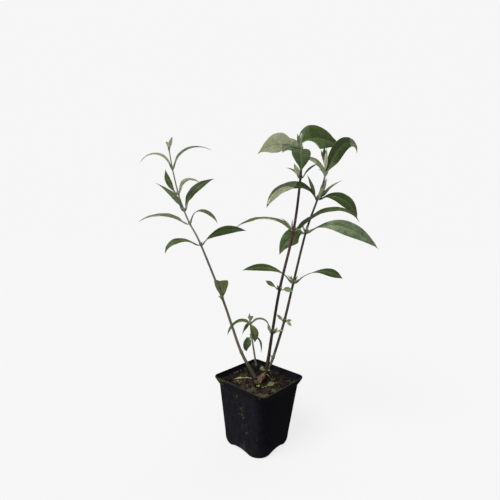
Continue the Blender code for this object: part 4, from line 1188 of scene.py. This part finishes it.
def leaf_thickness(leaf, share, place, run, grown, middle, lateral):
    """Thickness of a blade, whose ribs and stalk stand out below."""
    thick = BLADE_THICKNESS * (1 - 0.45 * place ** 6) * np.clip(0.5 + 0.5 * grown, 0, 1)
    thick = thick + RIB_THICKNESS * (1 - 0.8 * share) * middle + VEIN_THICKNESS * lateral
    stout = STALK_THICKNESS * min(leaf.length / STALK_LEAF, 1) ** 2 * np.exp(-(run / STALK_FADE) ** 2)
    return thick + stout * (1 - place ** 2) * np.clip(run / STALK_ROOT, 0, 1)


def leaf_rings(leaf, root, seed):
    """A leaf's skin as rings across its midrib, and the vein value of each of their points."""
    settings = bpy.context.scene.bush_leaves
    rng = np.random.default_rng(seed)
    along = int(np.clip(leaf.length / LEAF_CELL, *CELLS_ALONG))
    across = int(np.clip(leaf.width / 2 / LEAF_CELL, *CELLS_ACROSS))
    midrib, side, above = leaf_frame(leaf, root, along)
    share = np.linspace(0, 1, along + 1)[:, None]
    place = np.linspace(1, -1, 2 * across + 1)[None]
    run = share * leaf.length * MM
    half, grown, out = leaf_blade(leaf, share, place, run, rng.uniform())
    lateral = side_veins(leaf, place, run, out, grown)
    middle = np.exp(-(out / RIB_HALF) ** 2)
    rib = middle * (1 - 0.5 * share)
    veins = np.maximum(lateral * 0.5, np.exp(-(out / RIB_STRIPE) ** 2) * (1 - 0.4 * share))

    # Relief of the top: the blade bulges up between its veins
    lift = leaf_lift(place, run, out, half, grown, rng.uniform(0, 6))
    quilt = settings.quilt * grown * (1 - lateral) * (1 - rib) * (1 - place ** 4)
    lift = lift + quilt * np.clip(half / QUILT_HALF, 0.3, 1)
    dents = lumps(np.stack(np.broadcast_arrays(run, out, DENT_SIZE * seed), -1), DENT_SIZE)
    lift = lift + settings.dent * grown * np.abs(place) * dents

    top = midrib[:, None] + side[:, None] * out[..., None] + above[:, None] * lift[..., None]
    thick = leaf_thickness(leaf, share, place, run, grown, middle, lateral)
    under = top - above[:, None] * thick[..., None]
    return np.concatenate([top, under[:, ::-1]], axis=1), np.concatenate([veins, veins[:, ::-1]], axis=1)


def add_leaf(batch, leaf, root, tone, seed):
    """Add a leaf to a batch: stalk and top in its own tone, underside felted unless the tone is the grey
    fold.

    The grey fold is painted shade, the underside's colour where it lies in shadow. A leaf of that tone shows
    it on both faces, and any top takes it beyond the share that is the leaf's tip. Where one margin is over,
    the top's tone runs round it onto the underside: all of it at the root, and less and less towards the tip.
    """
    rings, veins = leaf_rings(leaf, root, seed)
    width = rings.shape[1] // 2
    number, fold, under = (LEAF_FINISHES.index(name) for name in (tone, "fold", "under"))
    share = np.linspace(0, 1, len(rings) - 1)[:, None]
    across = np.linspace(-1, 1, width)[None]
    rolled = (leaf.over != 0) & (leaf.over * across > np.interp(share, OVER_SHARES, OVER_EDGES))
    # Beyond its tip share the top takes the painted shade of the grey fold
    top = np.where(share > leaf.tip, fold, np.full((1, width), number))
    below = np.where(rolled | (tone == "fold"), top, under)
    finish = np.concatenate(np.broadcast_arrays(top, below), axis=1)
    wide = np.linalg.norm(rings[1:, 0] - rings[1:, width - 1], axis=1)[:, None]
    batch.add(turned(rings), np.where(wide < STALK_WIDTH, number, finish), veins)


def tuft_leaves(tuft, mass, number):
    """The young leaves of a tuft in the axils of a mass's first two leaves."""
    rng = random.Random(tuft.seed + number)
    young = []
    for leaf in mass.leaves[:2]:
        for turn in (-1, 1):
            bearing = leaf.bearing + turn * rng.uniform(*tuft.spread)
            young.append(Leaf(bearing, *(rng.uniform(*span) for span in tuft[2:])))
    return young


def leaf_root(mass, leaf, is_young):
    """Where a leaf sets out: a little inside the skin of its cane, at its joint or above it."""
    line = LINES[mass.cane]
    at = min(line.joints[mass.joint] + leaf.rise * MM, line.length)
    reach = cane_radius(mass.cane, at)
    if is_young:
        reach = TUFT_REACH * reach
    elif TIPS[mass.cane] is mass:
        reach = TIP_REACH * reach
    else:
        reach = reach + RING_REACH * RING_WALL
    angle = math.radians(leaf.bearing)
    level = np.array([math.cos(angle), math.sin(angle), 0.0])
    return line.at(at)[0] + reach * level - np.array([0, 0, LEAF_ROOT_SINK])


def make_foliage():
    """The leaves of each cane as one piece, which stands for the cane's masses."""
    settings = bpy.context.scene.bush_leaves
    skins = [leaf_material("leaf_" + tone, getattr(settings, tone), settings.vein, vein_share=0.6)
             for tone in LEAF_FINISHES[:-2]]
    skins.append(leaf_material("leaf_young", settings.young, settings.under, vein_share=0.3, roughness=0.7,
                               sheen=0.2, patch=0.7))
    skins.append(leaf_material("leaf_under", settings.under, settings.vein_under, vein_share=0.75,
                               roughness=0.85, sheen=0.15, patch=0.8))
    for cane in LINES:
        batch, nodes = Batch(), []
        for number, mass in enumerate(MASSES):
            if mass.cane != cane:
                continue
            nodes.append(mass.name)
            young = tuft_leaves(AXIL_TUFT, mass, number) if mass.axils else []
            if TIPS[cane] is not mass:
                young += tuft_leaves(FINE_TUFT, mass, number)
            for order, leaf in enumerate(mass.leaves + young):
                is_small = leaf.length < YOUNG_LENGTH or leaf.rise > YOUNG_RISE
                tone = leaf.tone or ("young" if is_small else CANE_TONES[cane])
                root = leaf_root(mass, leaf, order >= len(mass.leaves))
                add_leaf(batch, leaf, root, tone, 1000 * number + order)
        batch.build(cane + "_foliage", skins, "foliage", nodes)


def make_litter():
    """What lies on the compost: dry and green leaves, curls of felted leaf at the fork, and buds."""
    settings = bpy.context.scene.bush_litter
    skins = {name: leaf_material(name, getattr(settings, shade), getattr(settings, vein), share, roughness)
             for name, (shade, vein, share, roughness) in LITTER_SKINS.items()}
    for name, skin, rows in LITTER:
        batch = Batch()
        for order, (x, y, rise, leaf) in enumerate(rows):
            rings, veins = leaf_rings(leaf, on_ground(x, y, rise), LITTER_SEED + order)
            batch.add(turned(rings), 0, veins)
        batch.build(name, [skins[skin]], "compost")
    batch = Batch()
    for x, y, rise, size in FALLEN_BUDS:
        batch.add(bud_rings(on_ground(x, y, rise), FALLEN_BUD_AHEAD, size * MM, FALLEN_BUD_WIDTH * size * MM))
    bud = mottled("bud_green", settings.bud, darker(settings.bud, 0.7), 500.0, amount=0.8, roughness=0.6)
    batch.build("fallen_buds", [bud], "compost")


class BUSH_OT_pot(bpy.types.Operator):
    """Make the pot's skin, with its flared lip, rounded corners and arched foot."""

    bl_idname = "bush.pot"
    bl_label = "Pot"

    def execute(self, context):
        settings = context.scene.bush_pot
        rings = pot_rings(settings.wall)
        # The rim's top edge takes a line of dried dirt that is also a painted highlight
        high = rings[..., 2].max(axis=1) > POT_HEIGHT - RIM_DIRT_AND_HIGHLIGHT
        out = np.abs(rings[..., :2]).max(axis=(1, 2)) > RIM_HALF - RIM_DIRT_AND_HIGHLIGHT
        dirt_and_highlight = high[1:] & high[:-1] & out[1:] & out[:-1]
        batch = Batch()
        batch.add(rings, dirt_and_highlight.astype(int)[:, None])
        edge = mottled("rim_dirt", settings.edge, settings.lit_dusty_film, 260.0, amount=0.6, roughness=0.9,
                       specular=0.05)
        batch.build("pot_shell", [pot_material(), edge], "pot_plastic", ["pot"])
        return {"FINISHED"}


class BUSH_OT_compost(bpy.types.Operator):
    """Make the compost: its ground, bark chips in five colours, and fibres."""

    bl_idname = "bush.compost"
    bl_label = "Compost"

    def execute(self, context):
        settings = context.scene.bush_compost
        ground = mottled("compost_ground", settings.ground, darker(settings.ground, 0.5), 300.0,
                         roughness=0.95, specular=0.1, relief=1.0 * MM)
        chips = {name: mottled("chip_" + name, getattr(settings, name), darker(getattr(settings, name), 0.5),
                               350.0, amount=0.9, roughness=0.9, specular=0.12, relief=0.4 * MM)
                 for name in CHIP_KINDS}
        make_compost_ground([ground])
        make_compost_chips(chips)
        make_compost_fibres(chips["brown"])
        return {"FINISHED"}


class BUSH_OT_bark(bpy.types.Operator):
    """Make the bark of the old stump, the canes and the back shoot."""

    bl_idname = "bush.bark"
    bl_label = "Bark"

    def execute(self, context):
        make_stump()
        make_bark()
        return {"FINISHED"}


class BUSH_OT_shoots(bpy.types.Operator):
    """Make the green tips of the canes and the buds at their joints."""

    bl_idname = "bush.shoots"
    bl_label = "Shoots and buds"

    def execute(self, context):
        make_shoots()
        return {"FINISHED"}


class BUSH_OT_foliage(bpy.types.Operator):
    """Make the leaves of every cane."""

    bl_idname = "bush.foliage"
    bl_label = "Leaves"

    def execute(self, context):
        make_foliage()
        return {"FINISHED"}


class BUSH_OT_litter(bpy.types.Operator):
    """Make the fallen leaves and buds on the compost."""

    bl_idname = "bush.litter"
    bl_label = "Litter"

    def execute(self, context):
        make_litter()
        return {"FINISHED"}


def make_floor(settings):
    """The pale floor, which the camera sees brighter than the light that it gives."""
    mesh = bpy.data.meshes.new("floor")
    side = settings.floor
    corners = [(-side, -side, 0), (side, -side, 0), (side, side, 0), (-side, side, 0)]
    mesh.from_pydata(corners, [], [(0, 1, 2, 3)])
    floor = bpy.data.objects.new("floor", mesh)
    bpy.context.scene.collection.objects.link(floor)
    material, tree, shader, _ = plain_material("floor_pale", roughness=1.0, specular=0.0)
    shader.inputs["Base Color"].default_value = (*settings.dim, 1.0)
    shader.inputs["Emission Color"].default_value = (*settings.pale, 1.0)
    seen = add_node(tree, "LightPath").outputs["Is Camera Ray"]
    glow = ramp(tree, seen, 0.0, 1.0, settings.bounce, settings.glow)
    tree.links.new(glow, shader.inputs["Emission Strength"])
    mesh.materials.append(material)


def make_sun(name, strength, azimuth, height):
    """A soft sun at an azimuth in the plant's frame and a height, both in degrees."""
    sun = bpy.data.lights.new(name, "SUN")
    sun.energy = strength
    sun.angle = SUN_ANGLE
    lamp = bpy.data.objects.new(name, sun)
    bpy.context.scene.collection.objects.link(lamp)
    lamp.matrix_world = (Matrix.Rotation(math.radians(azimuth) + PLANT_TURN, 4, "Z")
                         @ Matrix.Rotation(math.radians(90 - height), 4, "Y"))


def make_surround(settings):
    """Even light from all round, with a pale backdrop for the camera."""
    world = bpy.data.worlds.new("surround")
    world.use_nodes = True
    bpy.context.scene.world = world
    tree = world.node_tree
    back = tree.nodes["Background"]
    back.inputs["Color"].default_value = (*settings.pale, 1.0)
    seen = add_node(tree, "LightPath").outputs["Is Camera Ray"]
    tree.links.new(ramp(tree, seen, 0.0, 1.0, settings.sky, 1.0), back.inputs["Strength"])


def make_camera():
    """A camera with the photo's place and framing."""
    scene = bpy.context.scene
    camera = bpy.data.cameras.new("photo_camera")
    camera.sensor_width = SENSOR
    camera.lens = FOCAL_PIXELS / PHOTO_PIXELS * SENSOR
    camera.clip_start = CAMERA_NEAR
    shot = bpy.data.objects.new("photo_camera", camera)
    scene.collection.objects.link(shot)
    look = Matrix.Rotation(math.radians(90) - CAMERA_DIP, 4, "X") @ Matrix.Rotation(CAMERA_ROLL, 4, "Z")
    shot.matrix_world = Matrix.Rotation(PLANT_TURN, 4, "Z") @ Matrix.Translation(CAMERA_AT) @ look
    scene.camera = shot


class BUSH_OT_stage(bpy.types.Operator):
    """Make the pale floor, the soft light and the photo's camera."""

    bl_idname = "bush.stage"
    bl_label = "Stage"

    def execute(self, context):
        settings = context.scene.bush_stage
        make_floor(settings)
        make_sun("key", settings.key, *KEY_FROM)
        make_sun("fill", settings.fill, *FILL_FROM)
        make_surround(settings)
        make_camera()
        context.scene.view_settings.view_transform = "Standard"
        return {"FINISHED"}


class BUSH_PT_panel(bpy.types.Panel):
    """The bush's pieces and their settings."""

    bl_label = "Potted Butterfly Bush"
    bl_idname = "BUSH_PT_panel"
    bl_space_type = "VIEW_3D"
    bl_region_type = "UI"
    bl_category = "Bush"

    def draw(self, context):
        for operator in OPERATORS:
            self.layout.operator(operator.bl_idname)
        for key, group in SETTINGS.items():
            box = self.layout.box()
            box.label(text=group.__doc__)
            for name in group.__annotations__:
                box.prop(getattr(context.scene, key), name)


SETTINGS = {"bush_pot": PotSettings, "bush_compost": CompostSettings, "bush_canes": CaneSettings,
            "bush_leaves": LeafSettings, "bush_litter": LitterSettings, "bush_stage": StageSettings}
OPERATORS = [BUSH_OT_pot, BUSH_OT_compost, BUSH_OT_bark, BUSH_OT_shoots, BUSH_OT_foliage, BUSH_OT_litter,
             BUSH_OT_stage]


def register():
    """Register the classes, and put the settings on the scene."""
    for key, group in SETTINGS.items():
        bpy.utils.register_class(group)
        setattr(bpy.types.Scene, key, PointerProperty(type=group))
    for operator in OPERATORS + [BUSH_PT_panel]:
        bpy.utils.register_class(operator)


def unregister():
    """Take the classes and settings away again."""
    for operator in [BUSH_PT_panel] + OPERATORS[::-1]:
        bpy.utils.unregister_class(operator)
    for key, group in SETTINGS.items():
        delattr(bpy.types.Scene, key)
        bpy.utils.unregister_class(group)


def main():
    """Build everything."""
    register()
    for operator in OPERATORS:
        area, name = operator.bl_idname.split(".")
        getattr(getattr(bpy.ops, area), name)()


if __name__ == "__main__":
    main()
